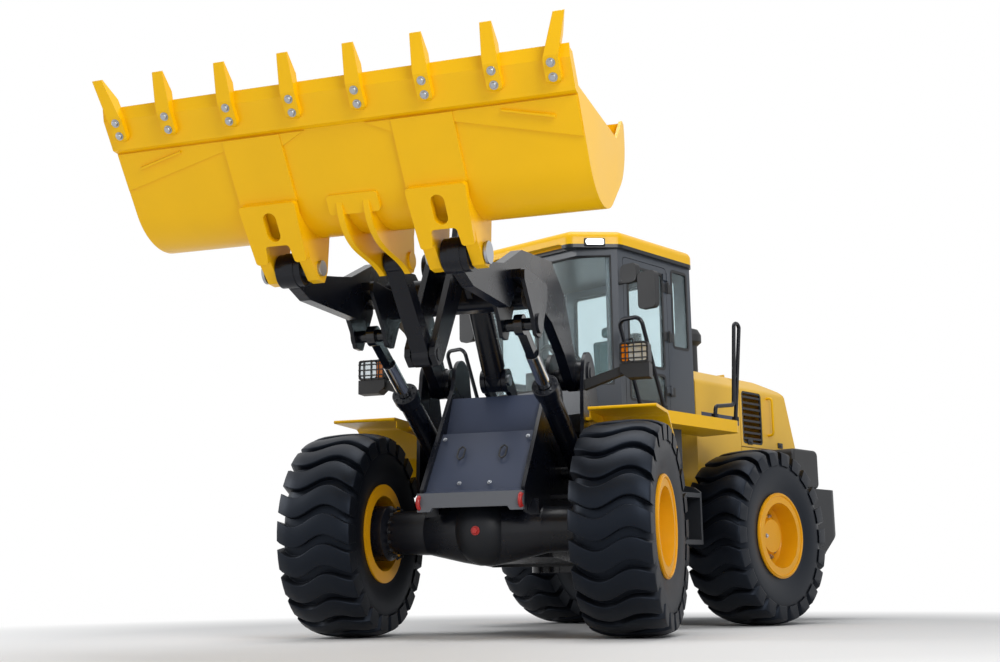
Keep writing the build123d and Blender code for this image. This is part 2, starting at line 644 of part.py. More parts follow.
# Tilt cylinder, with its two oil pipes along the barrel
TILT_L = reach(TILT_BASE, ROCKER_TOP)
TILT_TURN = heading(TILT_BASE, ROCKER_TOP)


def by_tilt(along, up, y):
    # a point beside the tilt cylinder: along its axis, behind it and to the left
    turn = radians(TILT_TURN)
    x = TILT_BASE[0] + along * cos(turn) - up * sin(turn)
    return (x, y, TILT_BASE[1] + along * sin(turn) + up * cos(turn))


with BuildPart() as tilt_barrel:
    with BuildSketch(axis_plane(TILT_BASE, TILT_TURN)):
        Circle(TILT_BARREL_R)
    extrude(amount=TILT_BARREL_L)
    with BuildSketch(axis_plane(TILT_BASE, TILT_TURN).offset(TILT_BARREL_L - 90)):
        Circle(TILT_BARREL_R + 14)
    extrude(amount=90)
    for y in (ROCKER_IN + LUG_T + 90, -ROCKER_IN + 6):
        with BuildSketch(side_plane(y)):
            with Locations(TILT_BASE):
                Circle(LINK_PIN_R + 75)
        extrude(amount=LUG_T + 96, mode=Mode.SUBTRACT)
    with BuildSketch(side_plane(ROCKER_IN - 6)):
        with Locations(TILT_BASE):
            Circle(90)
    extrude(amount=2 * (ROCKER_IN - 6))
    with BuildSketch(side_plane(240)):
        with Locations(TILT_BASE):
            Circle(LINK_PIN_R + RUN_FIT)
    extrude(amount=480, mode=Mode.SUBTRACT)
    for y, top in ((40, TILT_BARREL_L - 45), (-40, TILT_BARREL_L - 45)):
        with BuildLine() as pipe_run:
            FilletPolyline(by_tilt(230, 60, y), by_tilt(230, 130, y), by_tilt(top, 130, y),
                           by_tilt(top, 60, y), radius=35)
        with BuildSketch(Plane(origin=pipe_run.line @ 0, z_dir=pipe_run.line % 0)):
            RegularPolygon(PIPE_R, 8)
        sweep(path=pipe_run.line)
    with BuildSketch(axis_plane(TILT_BASE, TILT_TURN).offset(170)):
        Circle(TILT_ROD_R + RUN_FIT)
    extrude(amount=TILT_BARREL_L, mode=Mode.SUBTRACT)

with BuildPart() as tilt_rod:
    with BuildSketch(axis_plane(TILT_BASE, TILT_TURN).offset(TILT_L - TILT_ROD_L)):
        Circle(TILT_ROD_R)
    extrude(amount=TILT_ROD_L - 40)
    with BuildSketch(side_plane(ROCKER_IN - 12)):
        with Locations(ROCKER_TOP):
            Circle(80)
    extrude(amount=2 * (ROCKER_IN - 12))

# Lift cylinders, each with its rod's pin between the boom's ears
LIFT_L = reach(LIFT_BASE, LIFT_TIP)
LIFT_TURN = heading(LIFT_BASE, LIFT_TIP)
with BuildPart() as lift_barrel_left:
    with BuildSketch(axis_plane(LIFT_BASE, LIFT_TURN, ARM_MID)):
        Circle(LIFT_BARREL_R - 12)
    extrude(amount=LIFT_BARREL_L)
    with BuildSketch(axis_plane(LIFT_BASE, LIFT_TURN, ARM_MID).offset(LIFT_BARREL_L - 110)):
        Circle(LIFT_BARREL_R)
    extrude(amount=110)
    with BuildSketch(side_plane(ARM_MID + 75)):
        with Locations(LIFT_BASE):
            Circle(90)
    extrude(amount=150)
    with BuildSketch(side_plane(ARM_MID + 140)):
        with Locations(LIFT_BASE):
            Circle(BUCKET_PIN_R + RUN_FIT)
    extrude(amount=280, mode=Mode.SUBTRACT)
    with BuildSketch(axis_plane(LIFT_BASE, LIFT_TURN, ARM_MID).offset(LIFT_BORE_IN)):
        Circle(LIFT_ROD_R + RUN_FIT)
    extrude(amount=LIFT_BARREL_L, mode=Mode.SUBTRACT)

with BuildPart() as lift_rod_left:
    with BuildSketch(axis_plane(LIFT_BASE, LIFT_TURN, ARM_MID).offset(LIFT_ROD_IN)):
        Circle(LIFT_ROD_R)
    extrude(amount=LIFT_L - LIFT_ROD_IN - LIFT_FLAT_L)
    with BuildSketch(axis_plane(LIFT_BASE, LIFT_TURN, ARM_MID).offset(LIFT_L - LIFT_FLAT_L - 10)):
        Rectangle(64, 78)
    extrude(amount=LIFT_FLAT_L + 10)
    with BuildSketch(side_plane(ARM_MID + 32)):
        with Locations(LIFT_TIP):
            Circle(75)
    extrude(amount=64)
    with BuildSketch(side_plane(ARM_MID + EAR_IN - GAP)):
        with Locations(LIFT_TIP):
            Circle(BUCKET_PIN_R - 5)
    extrude(amount=2 * (EAR_IN - GAP))

with BuildPart() as lift_barrel_right:
    add(mirror(lift_barrel_left.part, about=Plane.XZ, mode=Mode.PRIVATE))

with BuildPart() as lift_rod_right:
    add(mirror(lift_rod_left.part, about=Plane.XZ, mode=Mode.PRIVATE))

# Bucket: a curved back and floor between side plates, with straps, hinge boxes and the link's ears behind it
BACK_S = -830.0
HORN_PLACES = (STRAP_OUT - 15, STRAP_IN + 15 + HORN_T, -STRAP_IN - 15, HORN_T + 15 - STRAP_OUT)
with BuildPart() as bucket:
    with BuildSketch(side_plane(BUCKET_HALF)):
        with BuildLine():
            Polyline(on_bucket(EDGE_S - 30, 0), on_bucket(-420, 0))
            ThreePointArc(on_bucket(-420, 0), on_bucket(-705, 112), on_bucket(BACK_S, 400))
            Line(on_bucket(BACK_S, 400), on_bucket(BACK_S + 15, 720))
            ThreePointArc(on_bucket(BACK_S + 15, 720), on_bucket(-730, 950), on_bucket(-530, 1100))
            Polyline(on_bucket(-530, 1100), on_bucket(-495, 1070), on_bucket(-540, 830), on_bucket(20, 45),
                     on_bucket(EDGE_S - 60, 40), on_bucket(EDGE_S - 30, 0))
        make_face()
    extrude(amount=2 * BUCKET_HALF)
    with BuildSketch(side_plane(BUCKET_HALF - BUCKET_SIDE)):
        with BuildLine():
            Polyline(on_bucket(EDGE_S + 100, BUCKET_WALL), on_bucket(-420, BUCKET_WALL))
            ThreePointArc(on_bucket(-420, BUCKET_WALL), on_bucket(-693, 125),
                          on_bucket(BACK_S + BUCKET_WALL, 400))
            Line(on_bucket(BACK_S + BUCKET_WALL, 400), on_bucket(BACK_S + 15 + BUCKET_WALL, 715))
            ThreePointArc(on_bucket(BACK_S + 15 + BUCKET_WALL, 715), on_bucket(-715, 938),
                          on_bucket(-522, 1082))
            Polyline(on_bucket(-522, 1082), on_bucket(-200, 1220), on_bucket(EDGE_S + 100, BUCKET_WALL))
        make_face()
    extrude(amount=2 * (BUCKET_HALF - BUCKET_SIDE), mode=Mode.SUBTRACT)
    for y in HORN_PLACES:
        with BuildSketch(side_plane(y)):
            with BuildLine():
                Polyline(on_bucket(-420, -15), on_bucket(-835, -15), on_bucket(-1000, 30),
                         on_bucket(-1050, 95),
                         on_bucket(-1010, 175), on_bucket(-830, 330), on_bucket(-822, 480))
                ThreePointArc(on_bucket(-822, 480), on_bucket(-700, 118), on_bucket(-420, 6))
                Line(on_bucket(-420, 6), on_bucket(-420, -15))
            make_face()
        extrude(amount=HORN_T)
    for side in (1, -1):
        mid = side * (STRAP_IN + STRAP_OUT) / 2
        wide = STRAP_OUT - STRAP_IN
        # the strap from the cutting edge down to the hinge box
        with BuildSketch(floor_plane(2)):
            with Locations(((EDGE_BACK_S - 34 - 445) / 2, mid)):
                Rectangle(445 + EDGE_BACK_S - 34, wide)
        extrude(amount=STRAP_T)
        # the hinge box's face, with a rounded slot and a notch between its feet
        with BuildSketch(floor_plane(-8)):
            with BuildLine():
                FilletPolyline((-440, mid - wide / 2), (-440, mid + wide / 2), (-835, mid + wide / 2 - 20),
                               (-835, mid + 95), (-715, mid + 80), (-715, mid - 80), (-835, mid - 95),
                               (-835, mid - wide / 2 + 20), radius=22, close=True)
            make_face()
            with Locations((-590, mid)):
                SlotOverall(190, 88, mode=Mode.SUBTRACT)
        extrude(amount=50)
        # wear plates on the floor, each with a slanted rib, and a corner plate inside the strap
        with BuildSketch(floor_plane(1)):
            Polygon((EDGE_BACK_S - 34, side * STRAP_OUT), (EDGE_BACK_S - 34, side * (BUCKET_HALF - 6)),
                    (-260, side * (BUCKET_HALF - 6)), (-80, side * STRAP_OUT), align=None)
            Polygon((EDGE_BACK_S - 34, side * STRAP_IN), (-95, side * STRAP_IN),
                    (EDGE_BACK_S - 34, side * (STRAP_IN - 165)), align=None)
        extrude(amount=WEAR_T)
        with BuildSketch(floor_plane(-WEAR_T + 2)):
            Polygon((-52, side * 1050), (-40, side * 1050), (-112, side * 1360), (-128, side * 1360),
                    align=None)
        extrude(amount=20)
    # a pad and two curved ears that carry the link
    with BuildSketch(floor_plane(16)):
        with Locations((-505, 0)):
            RectangleRounded(130, 340, 24)
    extrude(amount=30)
    tip = off_bucket(LINK_TIP)
    for y in (ROCKER_IN + LUG_T, -ROCKER_IN):
        with BuildSketch(side_plane(y)):
            with BuildLine():
                Spline(on_bucket(-470, -4), on_bucket(-600, -38), on_bucket(-760, 8), on_bucket(-900, 130),
                       on_bucket(tip[0] - 70, tip[1] - 60))
                Polyline(on_bucket(tip[0] - 70, tip[1] - 60), on_bucket(tip[0] - 88, tip[1]),
                         on_bucket(tip[0] - 55, tip[1] + 65), on_bucket(tip[0] + 15, tip[1] + 88),
                         on_bucket(-960, 560),
                         on_bucket(-820, 720), on_bucket(-825, 420), on_bucket(-780, 240),
                         on_bucket(-690, 112),
                         on_bucket(-540, 26), on_bucket(-470, -4))
            make_face()
        extrude(amount=LUG_T)
    for y in (ROCKER_IN + LUG_T + 14, -ROCKER_IN - LUG_T):
        with BuildSketch(side_plane(y)):
            with Locations(LINK_TIP):
                Circle(58)
        extrude(amount=14)
    with BuildSketch(side_plane(STRAP_OUT + 45)):
        with Locations(BUCKET_PIN):
            Circle(BUCKET_PIN_R + RUN_FIT)
    extrude(amount=2 * (STRAP_OUT + 45), mode=Mode.SUBTRACT)

# One bolted tooth: a shank under the edge and a wedge in front of it, in plan narrower towards its point
TOOTH_SIDE = (on_bucket(66, -EDGE_T + 2), on_bucket(92, -EDGE_T - 40), on_bucket(EDGE_S - 40, -EDGE_T - 40),
              on_bucket(TOOTH_TIP_S, -12), on_bucket(TOOTH_TIP_S, 2), on_bucket(EDGE_S + 45, 22),
              on_bucket(EDGE_S, 2),
              on_bucket(EDGE_S, -6), on_bucket(EDGE_S - 70, -EDGE_T + 2))
with BuildPart() as tooth:
    with BuildSketch(side_plane(TOOTH_W)):
        Polygon(*TOOTH_SIDE, align=None)
    extrude(amount=2 * TOOTH_W)
    with BuildSketch(floor_plane(60)):
        Polygon((112, -TOOTH_W / 2), (EDGE_S, -TOOTH_W / 2), (TOOTH_TIP_S + 5, -TOOTH_W * 0.36),
                (TOOTH_TIP_S + 5, TOOTH_W * 0.36), (EDGE_S, TOOTH_W / 2), (112, TOOTH_W / 2), align=None)
        with Locations((112, 0)):
            Circle(TOOTH_W / 2)
    extrude(amount=180, mode=Mode.INTERSECT)

# The corner tooth bends outwards (drawn here for the right-hand corner)
with BuildPart() as corner_tooth:
    with BuildSketch(side_plane(2 * TOOTH_W)):
        Polygon(*TOOTH_SIDE, align=None)
    extrude(amount=4 * TOOTH_W)
    with BuildSketch(floor_plane(60)):
        Polygon((112, -TOOTH_W / 2), (EDGE_S - 60, -TOOTH_W / 2),
                (TOOTH_TIP_S + 5, TOOTH_FLARE - TOOTH_W * 0.36),
                (TOOTH_TIP_S + 5, TOOTH_FLARE + TOOTH_W * 0.36), (EDGE_S - 60, TOOTH_W / 2),
                (112, TOOTH_W / 2),
                align=None)
        with Locations((112, 0)):
            Circle(TOOTH_W / 2)
    extrude(amount=180, mode=Mode.INTERSECT)

# Cutting edge with its teeth
CORNER_Y = BUCKET_HALF + 8 - TOOTH_FLARE - TOOTH_W * 0.36
with BuildPart() as bucket_edge:
    with BuildSketch(side_plane(BUCKET_HALF)):
        Polygon(on_bucket(EDGE_BACK_S, -EDGE_T), on_bucket(EDGE_S - 70, -EDGE_T), on_bucket(EDGE_S, -6),
                on_bucket(EDGE_S, 0), on_bucket(EDGE_BACK_S - 30, 0), align=None)
    extrude(amount=2 * BUCKET_HALF)
    for i in range(1, TEETH - 1):
        add(tooth.part.moved(Location((0, (i - (TEETH - 1) / 2) * TOOTH_PITCH, 0))))
    add(corner_tooth.part.moved(Location((0, -CORNER_Y, 0))))
    add(mirror(corner_tooth.part.moved(Location((0, -CORNER_Y, 0))), about=Plane.XZ, mode=Mode.PRIVATE))

# Rear frame: two long rails, the hinge forks in front and a tail wall that carries the counterweight
REAR_WALL_X = -260.0
with BuildPart() as rear_frame:
    with BuildSketch(side_plane(REAR_INNER_Y + REAR_T)):
        Polygon((REAR_WALL_X, AZ - 280), (REAR_WALL_X - 440, AZ - 240), (RX + 350, AZ + 100),
                (RX + 210, AXLE_SEAT_Z + 30), (RX - 210, AXLE_SEAT_Z + 30), (RX - 400, AZ + 50),
                (REAR_END_X, AZ + 50),
                (REAR_END_X, HOOD_LOW_Z), (RX + 200, HOOD_LOW_Z), (RX + 550, AZ + 600),
                (REAR_WALL_X, AZ + 600),
                align=None)
    extrude(amount=REAR_T)
    mirror(about=Plane.XZ)
    with Locations((REAR_WALL_X - REAR_T / 2, 0, AZ + 160)):
        Box(REAR_T, 2 * REAR_INNER_Y + 2 * REAR_T, 880)
    with Locations((RX, 0, REAR_SEAT_Z + 35)):
        Box(420, 2 * REAR_INNER_Y, 70)
    with Locations((REAR_END_X + 20, 0, AZ + 215)):
        Box(40, 2 * REAR_INNER_Y, 330)
    with Locations(((RX + 350 + REAR_WALL_X - 40) / 2, 0, AZ + 580)):
        Box(REAR_WALL_X - 40 - RX - 350, 2 * REAR_INNER_Y, 40)
    with Locations((RX - 750, 0, AZ + 70)):
        Box(900, 2 * REAR_INNER_Y, 30)
    for z in (HINGE_TOP_Z, HINGE_LOW_Z):
        for base in (z + HINGE_T / 2 + HINGE_GAP, z - HINGE_T / 2 - HINGE_GAP - HINGE_T):
            with BuildSketch(Plane.XY.offset(base)):
                Circle(HINGE_R)
                Polygon((0, -HINGE_R), (REAR_WALL_X - 10, -HINGE_R - 90), (REAR_WALL_X - 10, HINGE_R + 90),
                        (0, HINGE_R),
                        align=None)
            extrude(amount=HINGE_T)
        with BuildSketch(Plane.XY.offset(z - HINGE_T * 1.5 - HINGE_GAP)):
            Circle(HINGE_PIN_R)
        extrude(amount=3 * HINGE_T + 2 * HINGE_GAP)
    # cab mounts and the cross plate under them
    with GridLocations(700, 1000, 2, 2):
        with Locations(((CAB_REAR_X + CAB_SIDE_X) / 2, 0, (AZ + 600 + CAB_FLOOR_Z) / 2)):
            Box(140, 140, CAB_FLOOR_Z - AZ - 600)
    with Locations(((CAB_REAR_X + CAB_SIDE_X) / 2, 0, AZ + 590)):
        Box(900, 2 * CAB_CROSS_HALF, 40)
    # forks for the steering cylinders
    for side in (1, -1):
        for z in (STEER_Z + 48, STEER_Z - 48 - 22):
            with BuildSketch(Plane.XY.offset(z)):
                with Locations((STEER_BASE[0], side * STEER_BASE[1])):
                    Circle(48)
                Polygon((STEER_BASE[0] - 48, side * STEER_BASE[1]),
                        (STEER_BASE[0] + 48, side * STEER_BASE[1]),
                        (STEER_BASE[0] + 70, side * (REAR_INNER_Y + 5)),
                        (STEER_BASE[0] - 70, side * (REAR_INNER_Y + 5)),
                        align=None)
            extrude(amount=22)
        with BuildSketch(Plane.XY.offset(STEER_Z - 70)):
            with Locations((STEER_BASE[0], side * STEER_BASE[1])):
                Circle(24)
        extrude(amount=140)
    # windows in the front wall where the steering cylinders pass
    for side in (1, -1):
        with Locations((REAR_WALL_X - 20, side * 300, STEER_Z)):
            Box(120, 240, 200, mode=Mode.SUBTRACT)

# Engine as one plain block on the rails
with BuildPart() as engine_block:
    with Locations((RX - 500, 0, HOOD_LOW_Z + 315)):
        Box(1150, 640, 630)
    with Locations((RX - (985 + DIFF_R) / 2, 0, (AZ + 85 + HOOD_LOW_Z) / 2)):
        Box(915 - DIFF_R, 660, HOOD_LOW_Z - AZ - 85)

# Hood: a rounded section run along the tail, as a fixed front cowl and a lid behind it, both hollow and open below
HOOD_RING = ((-HOOD_HALF, HOOD_LOW_Z), (-HOOD_HALF, HOOD_TOP_Z - HOOD_SHOULDER),
             (HOOD_SHOULDER - HOOD_HALF, HOOD_TOP_Z),
             (HOOD_HALF - HOOD_SHOULDER, HOOD_TOP_Z), (HOOD_HALF, HOOD_TOP_Z - HOOD_SHOULDER),
             (HOOD_HALF, HOOD_LOW_Z))
with BuildPart() as hood_front:
    with BuildSketch(Plane.YZ.offset(HOOD_SEAM_X + GAP)) as hood_section:
        Polygon(*HOOD_RING, align=None)
        fillet(hood_section.vertices().sort_by(Axis.Y)[2:], 70)
    extrude(amount=HOOD_FRONT_X - HOOD_SEAM_X - GAP)
    with BuildSketch(Plane.YZ.offset(HOOD_SEAM_X)) as hood_hollow:
        Polygon(*HOOD_RING, align=None)
        fillet(hood_hollow.vertices().sort_by(Axis.Y)[2:], 70)
        offset(amount=-HOOD_T, mode=Mode.REPLACE)
        with Locations((0, HOOD_LOW_Z)):
            Rectangle(2 * (HOOD_HALF - HOOD_T), 4 * HOOD_T)
    extrude(amount=HOOD_FRONT_X - HOOD_SEAM_X - HOOD_T, mode=Mode.SUBTRACT)
    # fixed knuckles and pins of the lid's hinge
    for y in (LID_HINGE_Y, -LID_HINGE_Y):
        with BuildSketch(side_plane(y + 60)):
            with Locations((HOOD_SEAM_X, HOOD_TOP_Z + LID_HINGE_UP)):
                Circle(LID_PIN_R)
        extrude(amount=120)
        with BuildSketch(side_plane(y + 60)):
            with Locations((HOOD_SEAM_X, HOOD_TOP_Z + LID_HINGE_UP)):
                Circle(LID_HINGE_UP)
            Polygon((HOOD_SEAM_X, HOOD_TOP_Z + 2), (HOOD_SEAM_X + 70, HOOD_TOP_Z - 4),
                    (HOOD_SEAM_X + 70, HOOD_TOP_Z + 12),
                    (HOOD_SEAM_X, HOOD_TOP_Z + LID_HINGE_UP), align=None)
        extrude(amount=55)

VENT_X = HOOD_SEAM_X - 225
VENT_Z = HOOD_TOP_Z - 410
LID_FALL = ((RX - 1010, HOOD_TOP_Z), (RX - 1450, HOOD_TOP_Z - 85), (TAIL_X, LID_LOW_Z + 50),
            (TAIL_X, LID_LOW_Z))
with BuildPart() as lid_hollow:
    with BuildSketch(Plane.YZ.offset(TAIL_X - 50)) as lid_section:
        Polygon(*HOOD_RING, align=None)
        fillet(lid_section.vertices().sort_by(Axis.Y)[2:], 70)
        offset(amount=-HOOD_T, mode=Mode.REPLACE)
    extrude(amount=HOOD_SEAM_X - TAIL_X + 60)
    with BuildSketch(side_plane(HOOD_HALF)):
        Polygon((HOOD_SEAM_X, HOOD_TOP_Z - HOOD_T), near(LID_FALL[0], 0, -HOOD_T),
                near(LID_FALL[1], HOOD_T * 0.8, -HOOD_T),
                near(LID_FALL[2], HOOD_T, 0), near(LID_FALL[3], HOOD_T, -50), (HOOD_SEAM_X, LID_LOW_Z - 50),
                align=None)
    extrude(amount=2 * HOOD_HALF, mode=Mode.INTERSECT)

with BuildPart() as hood_rear:
    with BuildSketch(Plane.YZ.offset(TAIL_X - 50)) as lid_outer:
        Polygon(*HOOD_RING, align=None)
        fillet(lid_outer.vertices().sort_by(Axis.Y)[2:], 70)
    extrude(amount=HOOD_SEAM_X - GAP - TAIL_X + 50)
    with BuildSketch(side_plane(HOOD_HALF + 5)) as lid_side:
        Polygon((HOOD_SEAM_X - GAP, HOOD_TOP_Z + 1), near(LID_FALL[0], 0, 1), *LID_FALL[1:],
                (HOOD_SEAM_X - GAP, LID_LOW_Z),
                align=None)
        fillet(lid_side.vertices().sort_by(Axis.X)[2], 90)
    extrude(amount=2 * HOOD_HALF + 10, mode=Mode.INTERSECT)
    add(lid_hollow.part, mode=Mode.SUBTRACT)
    with BuildSketch(side_plane(HOOD_HALF + 10)):
        with Locations((VENT_X, VENT_Z)):
            RectangleRounded(370, 530, 40)
    extrude(amount=2 * HOOD_HALF + 20, mode=Mode.SUBTRACT)
    # turning knuckles of the hinge
    for y in (LID_HINGE_Y, -LID_HINGE_Y):
        with BuildSketch(side_plane(y)):
            with Locations((HOOD_SEAM_X, HOOD_TOP_Z + LID_HINGE_UP)):
                Circle(LID_HINGE_UP)
            Polygon((HOOD_SEAM_X, HOOD_TOP_Z + 2), (HOOD_SEAM_X - 70, HOOD_TOP_Z - 4),
                    (HOOD_SEAM_X - 70, HOOD_TOP_Z + 12),
                    (HOOD_SEAM_X, HOOD_TOP_Z + LID_HINGE_UP), align=None)
            with Locations((HOOD_SEAM_X, HOOD_TOP_Z + LID_HINGE_UP)):
                Circle(LID_PIN_R + RUN_FIT, mode=Mode.SUBTRACT)
        extrude(amount=55)

# Louvred vents let into the sides of the lid
with BuildPart() as hood_vents:
    with BuildSketch(side_plane(HOOD_HALF - 2)):
        with Locations((VENT_X, VENT_Z)):
            RectangleRounded(370, 530, 40)
            RectangleRounded(330, 490, 24, mode=Mode.SUBTRACT)
    extrude(amount=HOOD_T)
    with BuildSketch(side_plane(HOOD_HALF - 4)):
        with Locations((VENT_X, VENT_Z)):
            with GridLocations(0, 60, 1, 8):
                Rectangle(340, 22)
    extrude(amount=12)
    mirror(about=Plane.XZ)

# Lower tail: side walls under the lid and the radiator grille
with BuildPart() as tail_body:
    with BuildSketch(side_plane(HOOD_HALF)):
        Polygon((HOOD_SEAM_X - GAP, HOOD_LOW_Z), (REAR_END_X, HOOD_LOW_Z), (REAR_END_X, CWT_TOP_Z),
                (TAIL_X + 10, CWT_TOP_Z),
                (TAIL_X, LID_LOW_Z - 10), (HOOD_SEAM_X - GAP, LID_LOW_Z - 10), align=None)
    extrude(amount=2 * HOOD_HALF)
    with BuildSketch(side_plane(HOOD_HALF - HOOD_T)):
        Polygon((HOOD_SEAM_X, HOOD_LOW_Z - 200), (TAIL_X - 110, HOOD_LOW_Z - 200), (TAIL_X - 110, LID_LOW_Z),
                (HOOD_SEAM_X, LID_LOW_Z), align=None)
    extrude(amount=2 * (HOOD_HALF - HOOD_T), mode=Mode.SUBTRACT)

GRILLE_H = LID_LOW_Z - 15 - CWT_TOP_Z - 20
with BuildPart() as tail_grille:
    with BuildSketch(Plane.YZ.offset(TAIL_X + 13)):
        with Locations((0, (CWT_TOP_Z + LID_LOW_Z - 15) / 2 + 5)):
            Rectangle(2 * (HOOD_HALF - HOOD_T), GRILLE_H)
            RectangleRounded(2 * (HOOD_HALF - HOOD_T) - 120, GRILLE_H - 100, 30, mode=Mode.SUBTRACT)
    extrude(amount=30)
    with BuildSketch(Plane.YZ.offset(TAIL_X + 18)):
        with Locations((0, (CWT_TOP_Z + LID_LOW_Z - 15) / 2 + 5)):
            with GridLocations(0, GRILLE_H / 8, 1, 6):
                Rectangle(2 * (HOOD_HALF - HOOD_T) - 100, 18)
    extrude(amount=20)

# Counterweight: a heavy casting with rounded corners and the bore of the tow pin, and wings beside the tail
CWT_LOW_Z = AZ - 145
with BuildPart() as counterweight:
    with BuildSketch(side_plane(CWT_HALF)):
        Polygon((REAR_END_X, CWT_TOP_Z), (CWT_END_X + 40, CWT_TOP_Z), (CWT_END_X, CWT_TOP_Z - 40),
                (CWT_END_X, AZ + 140),
                (REAR_END_X, CWT_LOW_Z), align=None)
    extrude(amount=2 * CWT_HALF)
    with BuildSketch(Plane.XY.offset(CWT_LOW_Z)) as cwt_plan:
        Polygon((REAR_END_X, -CWT_HALF), (REAR_END_X, CWT_HALF), (CWT_END_X, CWT_HALF),
                (CWT_END_X, -CWT_HALF), align=None)
        fillet(cwt_plan.vertices().sort_by(Axis.X)[:2], 190)
    extrude(amount=CWT_TOP_Z - CWT_LOW_Z, mode=Mode.INTERSECT)
    for y in (CWT_HALF, -HOOD_HALF - 30):
        with BuildSketch(side_plane(y)):
            Polygon((REAR_END_X + 10, CWT_TOP_Z), (WING_X, CWT_TOP_Z), (WING_X, AZ + 390),
                    (WING_X - 120, AZ + 20),
                    (REAR_END_X + 10, CWT_LOW_Z + 5), (REAR_END_X - 20, CWT_LOW_Z + 5),
                    (REAR_END_X - 20, CWT_TOP_Z),
                    align=None)
        extrude(amount=CWT_HALF - HOOD_HALF - 30)
    with Locations((CWT_END_X + 60, 0, AZ + 210)):
        Box(240, 240, 90, mode=Mode.SUBTRACT)
    with BuildSketch(Plane.XY.offset(AZ + 100)):
        with Locations((CWT_END_X + 80, 0)):
            Circle(TOW_R)
    extrude(amount=CWT_TOP_Z - AZ - 90, mode=Mode.SUBTRACT)

# Rounded boxes beside the tail, on the counterweight's wings
with BuildPart() as box_left:
    with BuildSketch(side_plane(CWT_HALF)):
        with Locations((WING_X - 240, (CWT_TOP_Z + LID_LOW_Z - 20) / 2)):
            RectangleRounded(500, LID_LOW_Z - 20 - CWT_TOP_Z, 60)
    extrude(amount=CWT_HALF - HOOD_HALF)
    fillet(box_left.faces().sort_by(Axis.Y)[-1].edges(), 30)

with BuildPart() as box_right:
    add(mirror(box_left.part, about=Plane.XZ, mode=Mode.PRIVATE))

# Cab: a hollow shell with cut windows and doorways, and a roof over it
DOOR_MID_X = (DOOR_BACK_X + DOOR_FRONT_X) / 2
with BuildPart() as cab_shell:
    with BuildSketch(Plane.XY.offset(CAB_FLOOR_Z)) as cab_plan:
        Polygon((CAB_REAR_X, -CAB_HALF), (CAB_SIDE_X, -CAB_HALF), (CAB_FRONT_X, -CAB_FRONT_HALF),
                (CAB_FRONT_X, CAB_FRONT_HALF), (CAB_SIDE_X, CAB_HALF), (CAB_REAR_X, CAB_HALF), align=None)
    extrude(amount=CAB_H)
    with BuildSketch(Plane.XY.offset(CAB_FLOOR_Z + CAB_WALL)):
        Polygon((CAB_REAR_X + CAB_WALL, -CAB_HALF + CAB_WALL), (CAB_SIDE_X - 20, -CAB_HALF + CAB_WALL),
                (CAB_FRONT_X - CAB_WALL, -CAB_FRONT_HALF + 20), (CAB_FRONT_X - CAB_WALL, CAB_FRONT_HALF - 20),
                (CAB_SIDE_X - 20, CAB_HALF - CAB_WALL), (CAB_REAR_X + CAB_WALL, CAB_HALF - CAB_WALL),
                align=None)
    extrude(amount=CAB_H, mode=Mode.SUBTRACT)
    with BuildSketch(side_plane(CAB_HALF + 20)):
        with Locations((DOOR_MID_X, (DOOR_LOW_Z + DOOR_TOP_Z) / 2)):
            RectangleRounded(DOOR_FRONT_X - DOOR_BACK_X, DOOR_TOP_Z - DOOR_LOW_Z, 40)
        with Locations((CAB_REAR_X + 185, CAB_TOP_Z - 430)):
            RectangleRounded(250, CAB_H / 2, 40)
    extrude(amount=2 * CAB_HALF + 40, mode=Mode.SUBTRACT)
    with BuildSketch(Plane.XY.offset(WINDOW_LOW_Z)):
        Polygon((CAB_SIDE_X + 35, -CAB_HALF), (CAB_FRONT_X + 20, -CAB_HALF), (CAB_FRONT_X + 20, CAB_HALF),
                (CAB_SIDE_X + 35, CAB_HALF), align=None)
    extrude(amount=CAB_TOP_Z - 60 - WINDOW_LOW_Z, mode=Mode.SUBTRACT)
    with BuildSketch(Plane.YZ.offset(CAB_REAR_X - 50)):
        with Locations((0, CAB_TOP_Z - 80 - 0.31 * CAB_H)):
            RectangleRounded(2 * CAB_HALF - 320, 0.62 * CAB_H, 60)
    extrude(amount=150, mode=Mode.SUBTRACT)
    # the seat's pedestal
    with Locations((SEAT_X, 0, (CAB_FLOOR_Z + CAB_WALL + SEAT_LOW_Z) / 2)):
        Box(360, 380, SEAT_LOW_Z - CAB_FLOOR_Z - CAB_WALL)

with BuildPart() as cab_roof:
    with BuildSketch(Plane.XY.offset(CAB_TOP_Z)) as roof_plan:
        Polygon((CAB_REAR_X - 30, -CAB_HALF - ROOF_OUT), (CAB_SIDE_X, -CAB_HALF - ROOF_OUT),
                (CAB_FRONT_X + 110, -CAB_FRONT_HALF), (CAB_FRONT_X + 110, CAB_FRONT_HALF),
                (CAB_SIDE_X, CAB_HALF + ROOF_OUT),
                (CAB_REAR_X - 30, CAB_HALF + ROOF_OUT), align=None)
        fillet(roof_plan.vertices(), 90)
    extrude(amount=ROOF_T)
    fillet(cab_roof.edges().group_by(Axis.Z)[-1], 70)
    # the hollow under the visor
    with BuildSketch(Plane.YZ.offset(CAB_FRONT_X + 30)):
        with Locations((0, CAB_TOP_Z)):
            RectangleRounded(2 * CAB_FRONT_HALF - 160, 90, 40)
    extrude(amount=90, mode=Mode.SUBTRACT)

